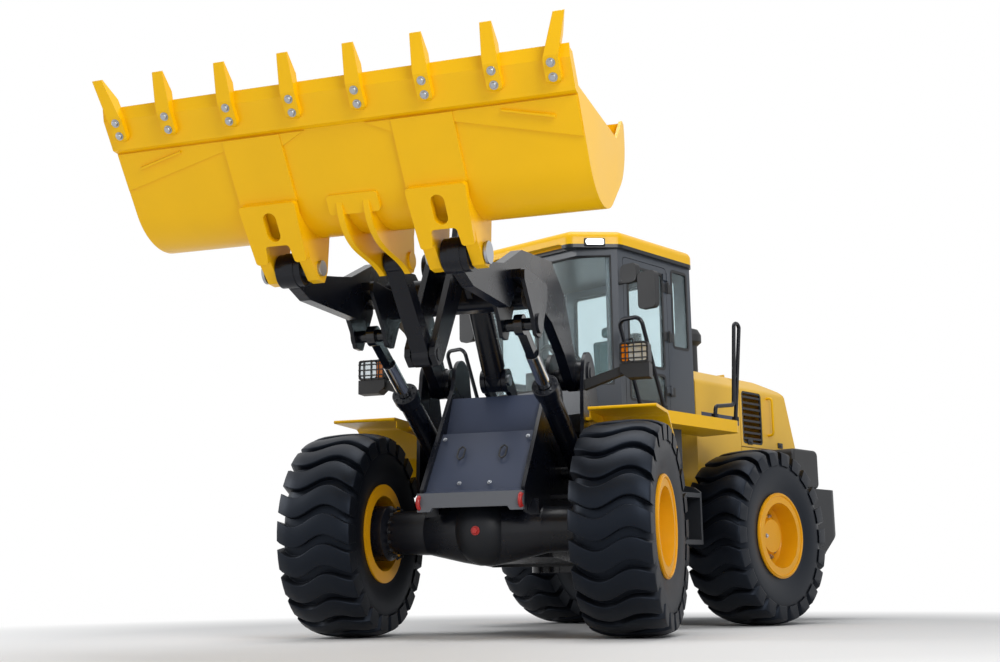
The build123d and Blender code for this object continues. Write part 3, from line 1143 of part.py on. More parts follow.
# Doors, hinged at the rear post
with BuildPart() as door_left:
    with BuildSketch(side_plane(CAB_HALF)):
        with Locations((DOOR_MID_X, (DOOR_LOW_Z + DOOR_TOP_Z) / 2)):
            RectangleRounded(DOOR_FRONT_X - DOOR_BACK_X - 2 * GAP, DOOR_TOP_Z - DOOR_LOW_Z - 2 * GAP, 36)
        with Locations((DOOR_MID_X, (DOOR_RAIL_Z + 55 + DOOR_TOP_Z - 65) / 2)):
            RectangleRounded(DOOR_FRONT_X - DOOR_BACK_X - 130, DOOR_TOP_Z - 120 - DOOR_RAIL_Z, 40,
                             mode=Mode.SUBTRACT)
        with Locations((DOOR_MID_X, (DOOR_LOW_Z + 70 + DOOR_RAIL_Z) / 2)):
            RectangleRounded(DOOR_FRONT_X - DOOR_BACK_X - 130, DOOR_RAIL_Z - DOOR_LOW_Z - 70, 40,
                             mode=Mode.SUBTRACT)
    extrude(amount=CAB_WALL)
    for z in (DOOR_LOW_Z + 210, DOOR_TOP_Z - 90):
        with Locations((DOOR_BACK_X + 33, CAB_HALF + 8, z)):
            Box(66, 16, 60)
        with BuildSketch(Plane.XY.offset(z - 40)):
            with Locations((DOOR_BACK_X - 2, CAB_HALF + 16)):
                Circle(13)
        extrude(amount=80)

with BuildPart() as door_right:
    add(mirror(door_left.part, about=Plane.XZ, mode=Mode.PRIVATE))

# Seat and the control column with its wheel
with BuildPart() as seat:
    with Locations((SEAT_X, 0, SEAT_LOW_Z + 65)):
        Box(480, 500, 130)
    with Locations((SEAT_X - 220, 0, SEAT_LOW_Z + 375)):
        Box(120, 480, 620)

COLUMN_Z = CAB_FLOOR_Z + 430
with BuildPart() as console:
    with BuildSketch(side_plane(180)):
        Polygon((CAB_FRONT_X - 60, CAB_FLOOR_Z + CAB_WALL), (CAB_FRONT_X - 60, COLUMN_Z + 10),
                (CAB_FRONT_X - 200, COLUMN_Z + 20),
                (CAB_FRONT_X - 280, COLUMN_Z - 40), (CAB_FRONT_X - 220, CAB_FLOOR_Z + CAB_WALL), align=None)
    extrude(amount=360)
    with BuildSketch(Plane(origin=(CAB_FRONT_X - 240, 0, COLUMN_Z - 30), x_dir=(0, 1, 0),
                           z_dir=(-0.5, 0, 0.866))):
        Circle(32)
    extrude(amount=220)
    with BuildSketch(Plane(origin=(CAB_FRONT_X - 340, 0, COLUMN_Z + 143), x_dir=(0, 1, 0),
                           z_dir=(-0.5, 0, 0.866))):
        Circle(210)
        Circle(182, mode=Mode.SUBTRACT)
        Rectangle(400, 36)
        with Locations((0, -100)):
            Rectangle(36, 180)
    extrude(amount=26)

# Side decks, with the tanks and steps below them
DECK_BACK_X = RX + 300
with BuildPart() as decks:
    with BuildSketch(Plane.XY.offset(DECK_Z - DECK_T)) as deck_plan:
        Polygon((DECK_BACK_X, CAB_HALF + GAP), (CAB_SIDE_X + 20, CAB_HALF + GAP), (CAB_SIDE_X + 20, DECK_OUT),
                (DECK_BACK_X, DECK_OUT), align=None)
        fillet(deck_plan.vertices().sort_by(Axis.Y)[2:], 60)
    extrude(amount=DECK_T)
    mirror(about=Plane.XZ)

TANK_LOW_Z = AZ - 120
TANK_MID_X = (TANK_BACK_X + TANK_FRONT_X) / 2
with BuildPart() as tank_left:
    with BuildSketch(Plane.YZ.offset(TANK_BACK_X)) as tank_face:
        Polygon((CAB_CROSS_HALF, TANK_LOW_Z + 60), (CAB_CROSS_HALF + 60, TANK_LOW_Z), (TANK_OUT, TANK_LOW_Z),
                (TANK_OUT, DECK_Z - DECK_T), (CAB_CROSS_HALF, DECK_Z - DECK_T), align=None)
        fillet(tank_face.vertices().sort_by(Axis.X)[-2:].sort_by(Axis.Y)[0], 60)
    extrude(amount=TANK_FRONT_X - TANK_BACK_X)
    for z in (TANK_LOW_Z + 450, TANK_LOW_Z + 50):
        with Locations((TANK_MID_X, (TANK_OUT - 10 + STEP_OUT) / 2, z)):
            Box(TANK_FRONT_X - TANK_BACK_X - 140, STEP_OUT - TANK_OUT + 10, 40)
    for x in (TANK_BACK_X + 80, TANK_FRONT_X - 80):
        with BuildSketch(Plane.YZ.offset(x - 12)):
            Polygon((TANK_OUT - 10, TANK_LOW_Z + 30), (STEP_OUT, TANK_LOW_Z + 30),
                    (STEP_OUT, TANK_LOW_Z + 480),
                    (STEP_OUT - 60, TANK_LOW_Z + 520), (TANK_OUT - 10, TANK_LOW_Z + 560), align=None)
        extrude(amount=24)

with BuildPart() as tank_right:
    add(mirror(tank_left.part, about=Plane.XZ, mode=Mode.PRIVATE))

# Handrails of bent tube on the decks: a hoop in front of the door and two frames behind it
RAIL_OUT = DECK_OUT - 35
RAIL_IN = CAB_HALF + 150
FOOT_Z = DECK_Z + RAIL_R / 2
with BuildPart() as handrails:
    with BuildLine() as hoop:
        FilletPolyline((CAB_SIDE_X - 90, RAIL_OUT, FOOT_Z), (CAB_SIDE_X + 210, RAIL_OUT, DECK_Z + 780),
                       (CAB_SIDE_X + 210, RAIL_IN, DECK_Z + 780), (CAB_SIDE_X - 90, RAIL_IN, FOOT_Z),
                       radius=70)
    with BuildSketch(Plane(origin=hoop.line @ 0, z_dir=hoop.line % 0)):
        RegularPolygon(RAIL_R, 10)
    sweep(path=hoop.line)
    with BuildLine() as frame_rail:
        FilletPolyline((DECK_BACK_X + 360, RAIL_OUT, FOOT_Z), (DECK_BACK_X + 340, RAIL_OUT, DECK_Z + 110),
                       (DECK_BACK_X + 40, RAIL_OUT, DECK_Z + 150), (DECK_BACK_X - 30, RAIL_OUT, DECK_Z + 930),
                       (DECK_BACK_X - 120, RAIL_OUT, DECK_Z + 930), (DECK_BACK_X + 20, RAIL_OUT, FOOT_Z),
                       radius=42)
    with BuildSketch(Plane(origin=frame_rail.line @ 0, z_dir=frame_rail.line % 0)):
        RegularPolygon(RAIL_R, 10)
    sweep(path=frame_rail.line)
    with BuildSketch(Plane.XY.offset(DECK_Z)):
        with Locations((CAB_SIDE_X - 90, RAIL_IN), (CAB_SIDE_X - 90, RAIL_OUT), (DECK_BACK_X + 360, RAIL_OUT),
                       (DECK_BACK_X + 20, RAIL_OUT)):
            RegularPolygon(RAIL_R + 14, 10)
    extrude(amount=2 * RAIL_R)
    mirror(about=Plane.XZ)

# Mirrors on arms at the front posts
MIRROR_Z = CAB_TOP_Z - 320
with BuildPart() as mirrors:
    with BuildSketch(side_plane(CAB_HALF + 330)):
        with Locations((CAB_SIDE_X - 20, MIRROR_Z)):
            Circle(14)
    extrude(amount=330)
    with BuildSketch(Plane.YZ.offset(CAB_SIDE_X - 50)):
        with Locations((CAB_HALF + 310, MIRROR_Z - 110)):
            RectangleRounded(190, 330, 45)
        with Locations((CAB_HALF + 120, MIRROR_Z + 70)):
            RectangleRounded(170, 170, 40)
    extrude(amount=58)
    mirror(about=Plane.XZ)

# Beacon on the roof, and the exhaust stack and air intake on the hood
BEACON_AT = Plane(origin=(SEAT_X + 320, 430, ROOF_TOP_Z), x_dir=(1, 0, 0), z_dir=(0, -1, 0))
with BuildPart() as beacon:
    with BuildSketch(BEACON_AT):
        with BuildLine():
            Polyline((0, 110), (0, 0), (75, 0), (75, 24), (58, 34))
            Spline((58, 34), (52, 86), (0, 130))
            Line((0, 130), (0, 110))
        make_face()
    revolve(axis=Axis(BEACON_AT.origin, (0, 0, 1)))

STACK_X = RX - 200
STACK_AT = Plane(origin=(STACK_X, -320, HOOD_TOP_Z), x_dir=(1, 0, 0), z_dir=(0, -1, 0))
INTAKE_AT = Plane(origin=(STACK_X, 320, HOOD_TOP_Z), x_dir=(1, 0, 0), z_dir=(0, -1, 0))
with BuildPart() as exhaust:
    with BuildSketch(STACK_AT):
        Polygon((0, 0), (78, 0), (78, 40), (62, 60), (62, 510), (50, 510), (50, 430), (0, 430), align=None)
    revolve(axis=Axis(STACK_AT.origin, (0, 0, 1)))
    with BuildSketch(INTAKE_AT):
        Polygon((0, 0), (95, 0), (95, 290), (140, 330), (140, 400), (110, 455), (40, 480), (0, 480),
                align=None)
    revolve(axis=Axis(INTAKE_AT.origin, (0, 0, 1)))

# Steering cylinders, between the two halves, in the front half's own directions
turn = radians(-STEER_REST)
STEER_A = (STEER_BASE[0] * cos(turn) - STEER_BASE[1] * sin(turn),
           STEER_BASE[0] * sin(turn) + STEER_BASE[1] * cos(turn))
STEER_B = (STEER_BASE[0] * cos(turn) + STEER_BASE[1] * sin(turn),
           STEER_BASE[0] * sin(turn) - STEER_BASE[1] * cos(turn))
TIP_A = (STEER_TIP[0], STEER_TIP[1])
TIP_B = (STEER_TIP[0], -STEER_TIP[1])


def steer_plane(foot, tip):
    # a plane square to a steering cylinder, at its foot
    way = (tip[0] - foot[0], tip[1] - foot[1], 0)
    return Plane(origin=(foot[0], foot[1], STEER_Z), x_dir=(0, 0, 1), z_dir=way)


with BuildPart() as steer_barrel_left:
    with BuildSketch(steer_plane(STEER_A, TIP_A)):
        Circle(STEER_BARREL_R)
    extrude(amount=STEER_BARREL_L)
    with BuildSketch(Plane.XY.offset(STEER_Z - 40)):
        with Locations(STEER_A):
            Circle(46)
    extrude(amount=80)
    with BuildSketch(Plane.XY.offset(STEER_Z - 80)):
        with Locations(STEER_A):
            Circle(24 + RUN_FIT)
    extrude(amount=160, mode=Mode.SUBTRACT)
    with BuildSketch(steer_plane(STEER_A, TIP_A).offset(STEER_BORE_IN)):
        Circle(STEER_ROD_R + RUN_FIT)
    extrude(amount=STEER_BARREL_L, mode=Mode.SUBTRACT)

with BuildPart() as steer_barrel_right:
    with BuildSketch(steer_plane(STEER_B, TIP_B)):
        Circle(STEER_BARREL_R)
    extrude(amount=STEER_BARREL_L)
    with BuildSketch(Plane.XY.offset(STEER_Z - 40)):
        with Locations(STEER_B):
            Circle(46)
    extrude(amount=80)
    with BuildSketch(Plane.XY.offset(STEER_Z - 80)):
        with Locations(STEER_B):
            Circle(24 + RUN_FIT)
    extrude(amount=160, mode=Mode.SUBTRACT)
    with BuildSketch(steer_plane(STEER_B, TIP_B).offset(STEER_BORE_IN)):
        Circle(STEER_ROD_R + RUN_FIT)
    extrude(amount=STEER_BARREL_L, mode=Mode.SUBTRACT)

with BuildPart() as steer_rod_left:
    with BuildSketch(steer_plane(STEER_A, TIP_A).offset(STEER_ROD_IN_LEFT)):
        Circle(STEER_ROD_R)
    extrude(amount=reach(STEER_A, TIP_A) - STEER_ROD_IN_LEFT)
    with BuildSketch(Plane.XY.offset(STEER_Z - 36)):
        with Locations(TIP_A):
            Circle(42)
    extrude(amount=72)

with BuildPart() as steer_rod_right:
    with BuildSketch(steer_plane(STEER_B, TIP_B).offset(STEER_ROD_IN_RIGHT)):
        Circle(STEER_ROD_R)
    extrude(amount=reach(STEER_B, TIP_B) - STEER_ROD_IN_RIGHT)
    with BuildSketch(Plane.XY.offset(STEER_Z - 36)):
        with Locations(TIP_B):
            Circle(42)
    extrude(amount=72)

# Wheels, each with its dish outwards
LEFT_TURN = Location((0, 0, 0), (-90, 0, 0))
RIGHT_TURN = Location((0, 0, 0), (90, 0, 0))
FRONT_LEFT = Location((FX, WHEEL_Y, AZ)) * LEFT_TURN
FRONT_RIGHT = Location((FX, -WHEEL_Y, AZ)) * RIGHT_TURN
REAR_LEFT = Location((RX, WHEEL_Y, AZ)) * LEFT_TURN
REAR_RIGHT = Location((RX, -WHEEL_Y, AZ)) * RIGHT_TURN

with BuildPart() as tyre_front_left:
    add(tyre.part.moved(FRONT_LEFT))
with BuildPart() as tyre_front_right:
    add(tyre.part.moved(FRONT_RIGHT))
with BuildPart() as tyre_rear_left:
    add(tyre.part.moved(REAR_LEFT))
with BuildPart() as tyre_rear_right:
    add(tyre.part.moved(REAR_RIGHT))
with BuildPart() as rim_front_left:
    add(rim.part.moved(FRONT_LEFT))
with BuildPart() as rim_front_right:
    add(rim.part.moved(FRONT_RIGHT))
with BuildPart() as rim_rear_left:
    add(rim.part.moved(REAR_LEFT))
with BuildPart() as rim_rear_right:
    add(rim.part.moved(REAR_RIGHT))

# The tail swings aside about the articulation axis, and the whole machine is set on the middle of its footprint
front_half = {
    "front_frame": front_frame, "front_cover": front_cover, "front_axle": front_axle,
              "fender_left": fender_left,
    "fender_right": fender_right, "headlamp_left": headlamp_left, "headlamp_right": headlamp_right,
              "boom": boom,
    "bucket_pins": bucket_pins, "rocker_pin": rocker_pin, "tilt_pin": tilt_pin,
    "rocker": rocker, "link": link, "tilt_barrel": tilt_barrel, "tilt_rod": tilt_rod,
    "lift_barrel_left": lift_barrel_left, "lift_rod_left": lift_rod_left,
              "lift_barrel_right": lift_barrel_right,
    "lift_rod_right": lift_rod_right, "bucket": bucket, "bucket_edge": bucket_edge,
    "tyre_front_left": tyre_front_left, "tyre_front_right": tyre_front_right,
              "rim_front_left": rim_front_left,
    "rim_front_right": rim_front_right, "steer_barrel_left": steer_barrel_left,
    "steer_barrel_right": steer_barrel_right, "steer_rod_left": steer_rod_left,
              "steer_rod_right": steer_rod_right,
}
rear_half = {
    "rear_frame": rear_frame, "rear_axle": rear_axle, "engine_block": engine_block, "hood_front": hood_front,
    "hood_rear": hood_rear, "hood_vents": hood_vents, "tail_body": tail_body, "tail_grille": tail_grille,
    "counterweight": counterweight, "box_left": box_left, "box_right": box_right, "cab_shell": cab_shell,
    "cab_roof": cab_roof, "door_left": door_left, "door_right": door_right, "seat": seat,
    "console": console, "decks": decks, "tank_left": tank_left, "tank_right": tank_right,
             "handrails": handrails,
    "mirrors": mirrors, "beacon": beacon, "exhaust": exhaust, "tyre_rear_left": tyre_rear_left,
    "tyre_rear_right": tyre_rear_right, "rim_rear_left": rim_rear_left, "rim_rear_right": rim_rear_right,
}
swing = Location((0, 0, 0), (0, 0, -STEER_REST))
placed = {name: piece.part for name, piece in front_half.items()}
placed.update({name: piece.part.moved(swing) for name, piece in rear_half.items()})
box = Compound(children=[Compound(part.solids()) for part in placed.values()]).bounding_box()
home = Location((-(box.min.X + box.max.X) / 2, -(box.min.Y + box.max.Y) / 2, -box.min.Z))
print("articulation axis at", -(box.min.X + box.max.X) / 2, -(box.min.Y + box.max.Y) / 2, -box.min.Z)
print("size", box.size)

for name, part in placed.items():
    piece = part.moved(home)
    piece.label = name
    export_step(piece, f"parts/{name}.step")
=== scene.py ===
# %% [markdown]
# # Dressing a wheel loader
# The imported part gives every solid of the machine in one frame, in metres, with X along the front half,
# Y to its left and Z up. This lesson adds what the solids leave out: tread rubber, glass, fasteners, lamps,
# the cushion and all finishes, and it sets the camera and the light of the photograph.

# %% Load the frame
import json
import math
import bmesh
import bpy
from mathutils import Matrix, Vector


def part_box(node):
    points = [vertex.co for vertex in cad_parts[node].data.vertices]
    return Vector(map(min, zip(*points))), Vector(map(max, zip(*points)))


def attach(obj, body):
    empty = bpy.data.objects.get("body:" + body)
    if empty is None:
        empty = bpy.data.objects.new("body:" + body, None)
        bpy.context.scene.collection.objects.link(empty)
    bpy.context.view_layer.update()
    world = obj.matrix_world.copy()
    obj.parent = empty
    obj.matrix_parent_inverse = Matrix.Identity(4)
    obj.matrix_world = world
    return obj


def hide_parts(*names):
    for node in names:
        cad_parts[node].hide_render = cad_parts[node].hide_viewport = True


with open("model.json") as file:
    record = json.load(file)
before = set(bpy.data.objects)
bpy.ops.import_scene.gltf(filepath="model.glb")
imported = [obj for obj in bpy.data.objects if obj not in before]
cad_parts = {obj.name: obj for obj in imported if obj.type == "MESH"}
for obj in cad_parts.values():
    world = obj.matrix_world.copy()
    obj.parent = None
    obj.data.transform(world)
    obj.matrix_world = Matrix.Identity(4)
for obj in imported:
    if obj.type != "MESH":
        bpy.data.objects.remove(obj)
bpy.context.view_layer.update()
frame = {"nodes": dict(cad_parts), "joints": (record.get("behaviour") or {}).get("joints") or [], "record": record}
joints = {joint["name"]: joint for joint in frame["joints"]}

# %% [markdown]
# The machine is hinged in the middle, and its tail is swung aside in the photograph. So there are two sets
# of directions: the front half's own, which the frame follows, and the rear half's. A point is written in
# the half it belongs to and turned about the hinge. The bucket has its own directions too: along its floor
# towards the cutting edge, and square to the floor.

# %% Two halves and a bucket
sides = (("left", 1), ("right", -1))
up_z, down_z = Vector((0, 0, 1)), Vector((0, 0, -1))
axle_x, axle_z = 1.65, 0.8
bucket_turn = math.radians(54.0)
bucket_heel = Vector((0.630, 0, 0.713))

hinge = Vector((joints["steer"]["pos_m"][0], joints["steer"]["pos_m"][1], 0.0))
rear_axis = joints["wheel_rear_left_spin"]["axis"]
rear_turn = math.atan2(-rear_axis[0], rear_axis[1])
bucket_pin = Vector(joints["bucket_dump"]["pos_m"])
sink = joints["wheel_front_left_spin"]["pos_m"][2] - axle_z

front_half = Matrix.Translation(hinge + Vector((0, 0, sink)))
rear_half = front_half @ Matrix.Rotation(rear_turn, 4, "Z")
bucket_floor = Matrix.Translation(Vector((bucket_pin.x, hinge.y, bucket_pin.z)) + bucket_heel)
bucket_floor = bucket_floor @ Matrix.Rotation(-bucket_turn, 4, "Y")
print("tail swung by", round(math.degrees(rear_turn), 2), "degrees")
print("bucket pin at", [round(v, 3) for v in bucket_pin])

# %% [markdown]
# Every piece is begun as an empty bmesh and ends in the same way: doubled corners are welded, faces are
# turned outwards, edges sharper than a set angle stay crisp, and the mesh rides on one body of the machine.
# The same few strokes come back often: a bevelled block, a hexagon bolt, a bent tube, a plate and a spun profile.

# %% Strokes that come back
def settle(name, bm, material, body, crisp=35.0):
    bmesh.ops.remove_doubles(bm, verts=bm.verts, dist=1e-6)
    bmesh.ops.recalc_face_normals(bm, faces=bm.faces)
    for face in bm.faces:
        face.smooth = True
    for edge in bm.edges:
        edge.smooth = edge.calc_face_angle(0.0) < math.radians(crisp)
    mesh = bpy.data.meshes.new(name)
    bm.to_mesh(mesh)
    bm.free()
    mesh.materials.append(material)
    piece = bpy.data.objects.new(name, mesh)
    bpy.context.scene.collection.objects.link(piece)
    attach(piece, body)
    return piece


def axes(x, y, z):
    # the turn that lays a shape's own X, Y and Z along three directions
    return Matrix((x, y, z)).transposed().to_4x4()


def new_verts(geom):
    return [g for g in geom if isinstance(g, bmesh.types.BMVert)]


def block(bm, place, size, round_by=0.004, steps=2):
    made = bmesh.ops.create_cube(bm, size=1.0)["verts"]
    bmesh.ops.scale(bm, vec=size, verts=made)
    edges = {edge for vert in made for edge in vert.link_edges}
    made = bmesh.ops.bevel(bm, geom=list(edges), offset=round_by, affect="EDGES", segments=steps, profile=0.5,
                           material=-1)["verts"]
    bmesh.ops.transform(bm, matrix=place, verts=made)


def bolt(bm, place, radius, height):
    # a hexagon head with a chamfered top, on a thin round washer
    bmesh.ops.create_cone(bm, cap_ends=True, segments=20, radius1=radius * 1.35, radius2=radius * 1.3,
                          depth=height * 0.25, matrix=place @ Matrix.Translation((0, 0, height * 0.125)))
    head = bmesh.ops.create_cone(bm, cap_ends=True, segments=6, radius1=radius, radius2=radius, depth=height,
                                 matrix=place @ Matrix.Translation((0, 0, height * 0.5)))
    edges = {edge for vert in head["verts"] for edge in vert.link_edges}
    bmesh.ops.bevel(bm, geom=list(edges), offset=radius * 0.12, affect="EDGES", segments=1, profile=0.5,
                    material=-1)


def bolt_ring(bm, place, count, ring, out, radius, height):
    # bolts in a circle about the place's Z, all standing out equally far
    for i in range(count):
        turn = Matrix.Rotation(2 * math.pi * i / count, 4, "Z")
        bolt(bm, place @ turn @ Matrix.Translation((ring, 0, out)), radius, height)


def tube(bm, points, radius, bend, around=12, closed=False):
    # a round bar through the points, with each corner turned into a short arc of the given bend radius
    corners = [Vector(p) for p in points]
    if closed:
        corners = [corners[-1]] + corners + [corners[0]]
    path = [] if closed else [corners[0]]
    for before, corner, after in zip(corners, corners[1:], corners[2:]):
        start = (before - corner).normalized()
        end = (after - corner).normalized()
        cut = bend / math.tan(start.angle(end) / 2)
        path += [corner + start * cut * (1 - i / 6) ** 2 + end * cut * (i / 6) ** 2 for i in range(7)]
    if not closed:
        path.append(corners[-1])
    last = len(path) - 1
    rings = []
    # any direction that no tube follows will do to start the rings
    up = Vector((0.31, 0.17, 0.93)).normalized()
    for i, spot in enumerate(path):
        ahead = path[(i + 1) % len(path)] if closed else path[min(i + 1, last)]
        behind = path[i - 1] if closed else path[max(i - 1, 0)]
        way = (ahead - behind).normalized()
        side = up.cross(way).normalized()
        up = way.cross(side).normalized()
        ring = bmesh.ops.create_circle(bm, cap_ends=not closed and i in (0, last), segments=around, radius=radius,
                                       matrix=Matrix.Translation(spot) @ axes(side, up, way))["verts"]
        rings.append([e for e in {e for v in ring for e in v.link_edges} if all(v in ring for v in e.verts)])
    for one, two in zip(rings, rings[1:] + (rings[:1] if closed else [])):
        bmesh.ops.bridge_loops(bm, edges=one + two)


def grab(bm, x, wall, proud, first, last, radius, bend):
    # a bow handle that leaves the wall at one height and comes back to it at another
    tube(bm, [(x, wall, first), (x, proud, first), (x, proud, last), (x, wall, last)], radius, bend)


def sheet_face(bm, place, width, height, corner):
    # a flat rectangle with rounded corners, facing along the place's Z
    made = bmesh.ops.create_grid(bm, x_segments=1, y_segments=1, size=0.5)["verts"]
    bmesh.ops.scale(bm, vec=(width, height, 1), verts=made)
    bmesh.ops.transform(bm, matrix=place, verts=made)
    out = bmesh.ops.bevel(bm, geom=made, offset=corner, affect="VERTICES", segments=5, profile=0.5, material=-1)
    bm.normal_update()
    return [face for face in bm.faces if all(vert in out["verts"] for vert in face.verts)]


def thicken(bm, faces, depth):
    # the faces drawn out along their own normal, so that a flat outline becomes a plate
    way = faces[0].normal.copy()
    grown = bmesh.ops.extrude_face_region(bm, geom=faces)["geom"]
    bmesh.ops.translate(bm, vec=way * depth, verts=new_verts(grown))


def spun(bm, points, axis, steps, closed=False):
    # a profile carried once round an axis through the origin
    line = [bm.verts.new(p) for p in points]
    edges = [bm.edges.new(pair) for pair in zip(line, line[1:] + (line[:1] if closed else []))]
    bmesh.ops.spin(bm, geom=line + edges, cent=(0, 0, 0), axis=axis, angle=2 * math.pi, steps=steps,
                   use_merge=True)


print("strokes ready")

# %% [markdown]
# A finish is more than a colour. Sprayed paint is never quite even, its gloss wanders a little, sheet edges
# are slightly rounded and catch the light, and dust gathers low down. One recipe covers all finishes: noise in
# the object's own metres varies colour and gloss, a fine bump gives the grain, and the shader's bevel rounds
# the edges. A single helper adds each shader node, with its settings and its links.

# %% The finish recipe
dust_colour, dust_low, dust_high = "#8D8577", 0.1, 1.5
gloss_sway, coat_gloss, grain_deep = 0.07, 0.08, 0.001


def srgb(text):
    parts = [int(text[i:i + 2], 16) / 255 for i in (1, 3, 5)]
    return tuple(p / 12.92 if p <= 0.04045 else ((p + 0.055) / 1.055) ** 2.4 for p in parts) + (1.0,)


def shader(tree, kind, inputs=None, **settings):
    made = tree.nodes.new(kind)
    for name, value in settings.items():
        setattr(made, name, value)
    for socket, value in (inputs or {}).items():
        if isinstance(value, bpy.types.NodeSocket):
            tree.links.new(value, made.inputs[socket])
        else:
            made.inputs[socket].default_value = value
    return made


def noise(tree, where, size_mm, detail):
    return shader(tree, "ShaderNodeTexNoise", {"Vector": where, "Scale": 1000 / size_mm,
                                               "Detail": detail}).outputs["Fac"]


def blend(tree, amount, one, two):
    # sockets 6 and 7 are the mix node's two colours, and output 2 is their mix
    return shader(tree, "ShaderNodeMix", {0: amount, 6: one, 7: two}, data_type="RGBA").outputs[2]


def finish(name, colour, gloss, metal=0.0, spread=0.06, patch_mm=400.0, grain_mm=2.0, grain=0.02, edge_mm=4.0,
           coat=0.0, shine=0.5, dust=0.0, painted_end=None, **more):
    material = bpy.data.materials.new(name)
    material.use_nodes = True
    tree = material.node_tree
    tree.nodes.clear()
    where = shader(tree, "ShaderNodeTexCoord").outputs["Object"]
    patch = noise(tree, where, patch_mm, 4.0)
    fine = noise(tree, where, grain_mm, 2.0)
    base = srgb(colour)
    low = tuple(c * (1 - spread) for c in base[:3]) + (1.0,)
    high = tuple(min(1.0, c * (1 + spread)) for c in base[:3]) + (1.0,)
    shade = blend(tree, patch, low, high)
    if dust:
        height = shader(tree, "ShaderNodeSeparateXYZ", {"Vector": where}).outputs["Z"]
        near = shader(tree, "ShaderNodeMapRange", {"Value": height, "From Min": dust_low, "From Max": dust_high,
                                                   "To Min": dust, "To Max": 0.0}).outputs["Result"]
        amount = shader(tree, "ShaderNodeMath", {0: near, 1: patch}, operation="MULTIPLY").outputs["Value"]
        shade = blend(tree, amount, shade, srgb(dust_colour))
    if painted_end:
        # past a point along a line another paint covers the surface
        along, limit, other = painted_end
        reach = shader(tree, "ShaderNodeVectorMath", {0: where, 1: along}, operation="DOT_PRODUCT").outputs["Value"]
        past = shader(tree, "ShaderNodeMath", {0: reach, 1: limit}, operation="GREATER_THAN").outputs["Value"]
        shade = blend(tree, past, shade, srgb(other))
        metal = shader(tree, "ShaderNodeMapRange", {"Value": past, "To Min": metal,
                                                    "To Max": 0.0}).outputs["Result"]
    rough = shader(tree, "ShaderNodeMapRange", {"Value": patch, "To Min": max(0.02, gloss - gloss_sway),
                                                "To Max": gloss + gloss_sway}).outputs["Result"]
    round_edge = shader(tree, "ShaderNodeBevel", {"Radius": edge_mm / 1000}, samples=4).outputs["Normal"]
    bump = shader(tree, "ShaderNodeBump", {"Height": fine, "Strength": grain, "Distance": grain_deep,
                                           "Normal": round_edge}).outputs["Normal"]
    surface = shader(tree, "ShaderNodeBsdfPrincipled", {"Base Color": shade, "Roughness": rough, "Metallic": metal,
                                                        "Coat Weight": coat, "Coat Roughness": coat_gloss,
                                                        "Specular IOR Level": shine, "Normal": bump, **more})
    shader(tree, "ShaderNodeOutputMaterial", {"Surface": surface.outputs["BSDF"]})
    return material


print("finish recipe ready")

# %% [markdown]
# Each material is named for what the real machine is made of. A few of them change along the piece: the cover's
# foot bar is paler, the roof's lower edge is dark, and the rods' eyes are painted like the linkage, so that only
# the round bar is chromed.

# %% Materials
foot_bar_z, roof_trim_z = 1.072, 3.362
lift_tip, lift_eye, tilt_eye = Vector((2.575, 0, 2.200)), 0.330, 0.200
lift_way = Vector(joints["lift_stroke_left"]["axis"])
tilt_way = Vector(joints["tilt_stroke"]["axis"])
lift_limit = (front_half @ lift_tip).dot(lift_way) - lift_eye
tilt_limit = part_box("tilt_rod")[1].dot(tilt_way) - tilt_eye
bright_yellow, rod_grey, eye_paint = "#F0B900", "#D9DCE0", "#0C1018"
chromed = {"metal": 1.0, "spread": 0.02, "grain": 0.0}

# warm enamel that keeps its colour in shade and shows a soft broad highlight
yellow = finish("yellow_enamel", bright_yellow, 0.36, coat=0.05, shine=0.22, dust=0.06)
# the hood's enamel is paler and more even, as sun-bleached sheet looks
pale = finish("pale_yellow_enamel", "#ECBB3A", 0.36, coat=0.08, shine=0.25, spread=0.04)
# near-black navy enamel: the eye reads it by its long pale reflections
navy = finish("navy_enamel", "#0A0E18", 0.28, coat=0.05, shine=0.28, spread=0.2, dust=0.05)
# slate cover sheet, flat and cool beside the dark frame, with a paler wear bar along its foot
slate = finish("slate_enamel", "#3B4357", 0.40, shine=0.25, spread=0.08,
               painted_end=(down_z, -(sink + foot_bar_z), "#63666C"))
# grey-blue cab sheet between the panes
grey = finish("grey_enamel", "#2F3742", 0.36, coat=0.1)
# sand-cast iron with a coarse skin
iron = finish("cast_iron_skin", "#0C1119", 0.45, grain_mm=6.0, grain=0.15, spread=0.12, edge_mm=10.0, shine=0.3,
              dust=0.05)
# tread rubber: black with a cool bloom, and dust in the low parts
rubber = finish("tyre_rubber", "#080B11", 0.46, grain_mm=3.0, grain=0.12, spread=0.2, edge_mm=6.0, shine=0.3,
                dust=0.02, **{"Specular Tint": srgb("#B9CBE8")})
# moulded plastic, dull and even
plastic = finish("black_plastic", "#14161A", 0.55, grain_mm=1.0, grain=0.05)
# woven seat cloth: soft, with a visible weave
cloth = finish("seat_cloth", "#56797C", 0.85, grain_mm=2.5, grain=0.5, spread=0.15)
# hard chrome on the rods, the brightest streaks of the machine
chrome = finish("hard_chrome", rod_grey, 0.10, **chromed)
lift_chrome = finish("lift_rod_chrome", rod_grey, 0.12, painted_end=(lift_way, lift_limit, eye_paint), **chromed)
tilt_chrome = finish("tilt_rod_chrome", rod_grey, 0.12, painted_end=(tilt_way, tilt_limit, eye_paint), **chromed)
# plain turned steel of pins, nuts and bolts
steel = finish("bare_steel", "#A9ADB3", 0.32, metal=1.0, spread=0.1, edge_mm=1.5)
# amber lens plastic
amber = finish("amber_lens", "#E07A10", 0.18, coat=0.4, spread=0.05, edge_mm=2.0)
# rough block under the hood
block_iron = finish("engine_iron", "#3A3C40", 0.6, grain_mm=8.0, grain=0.1)
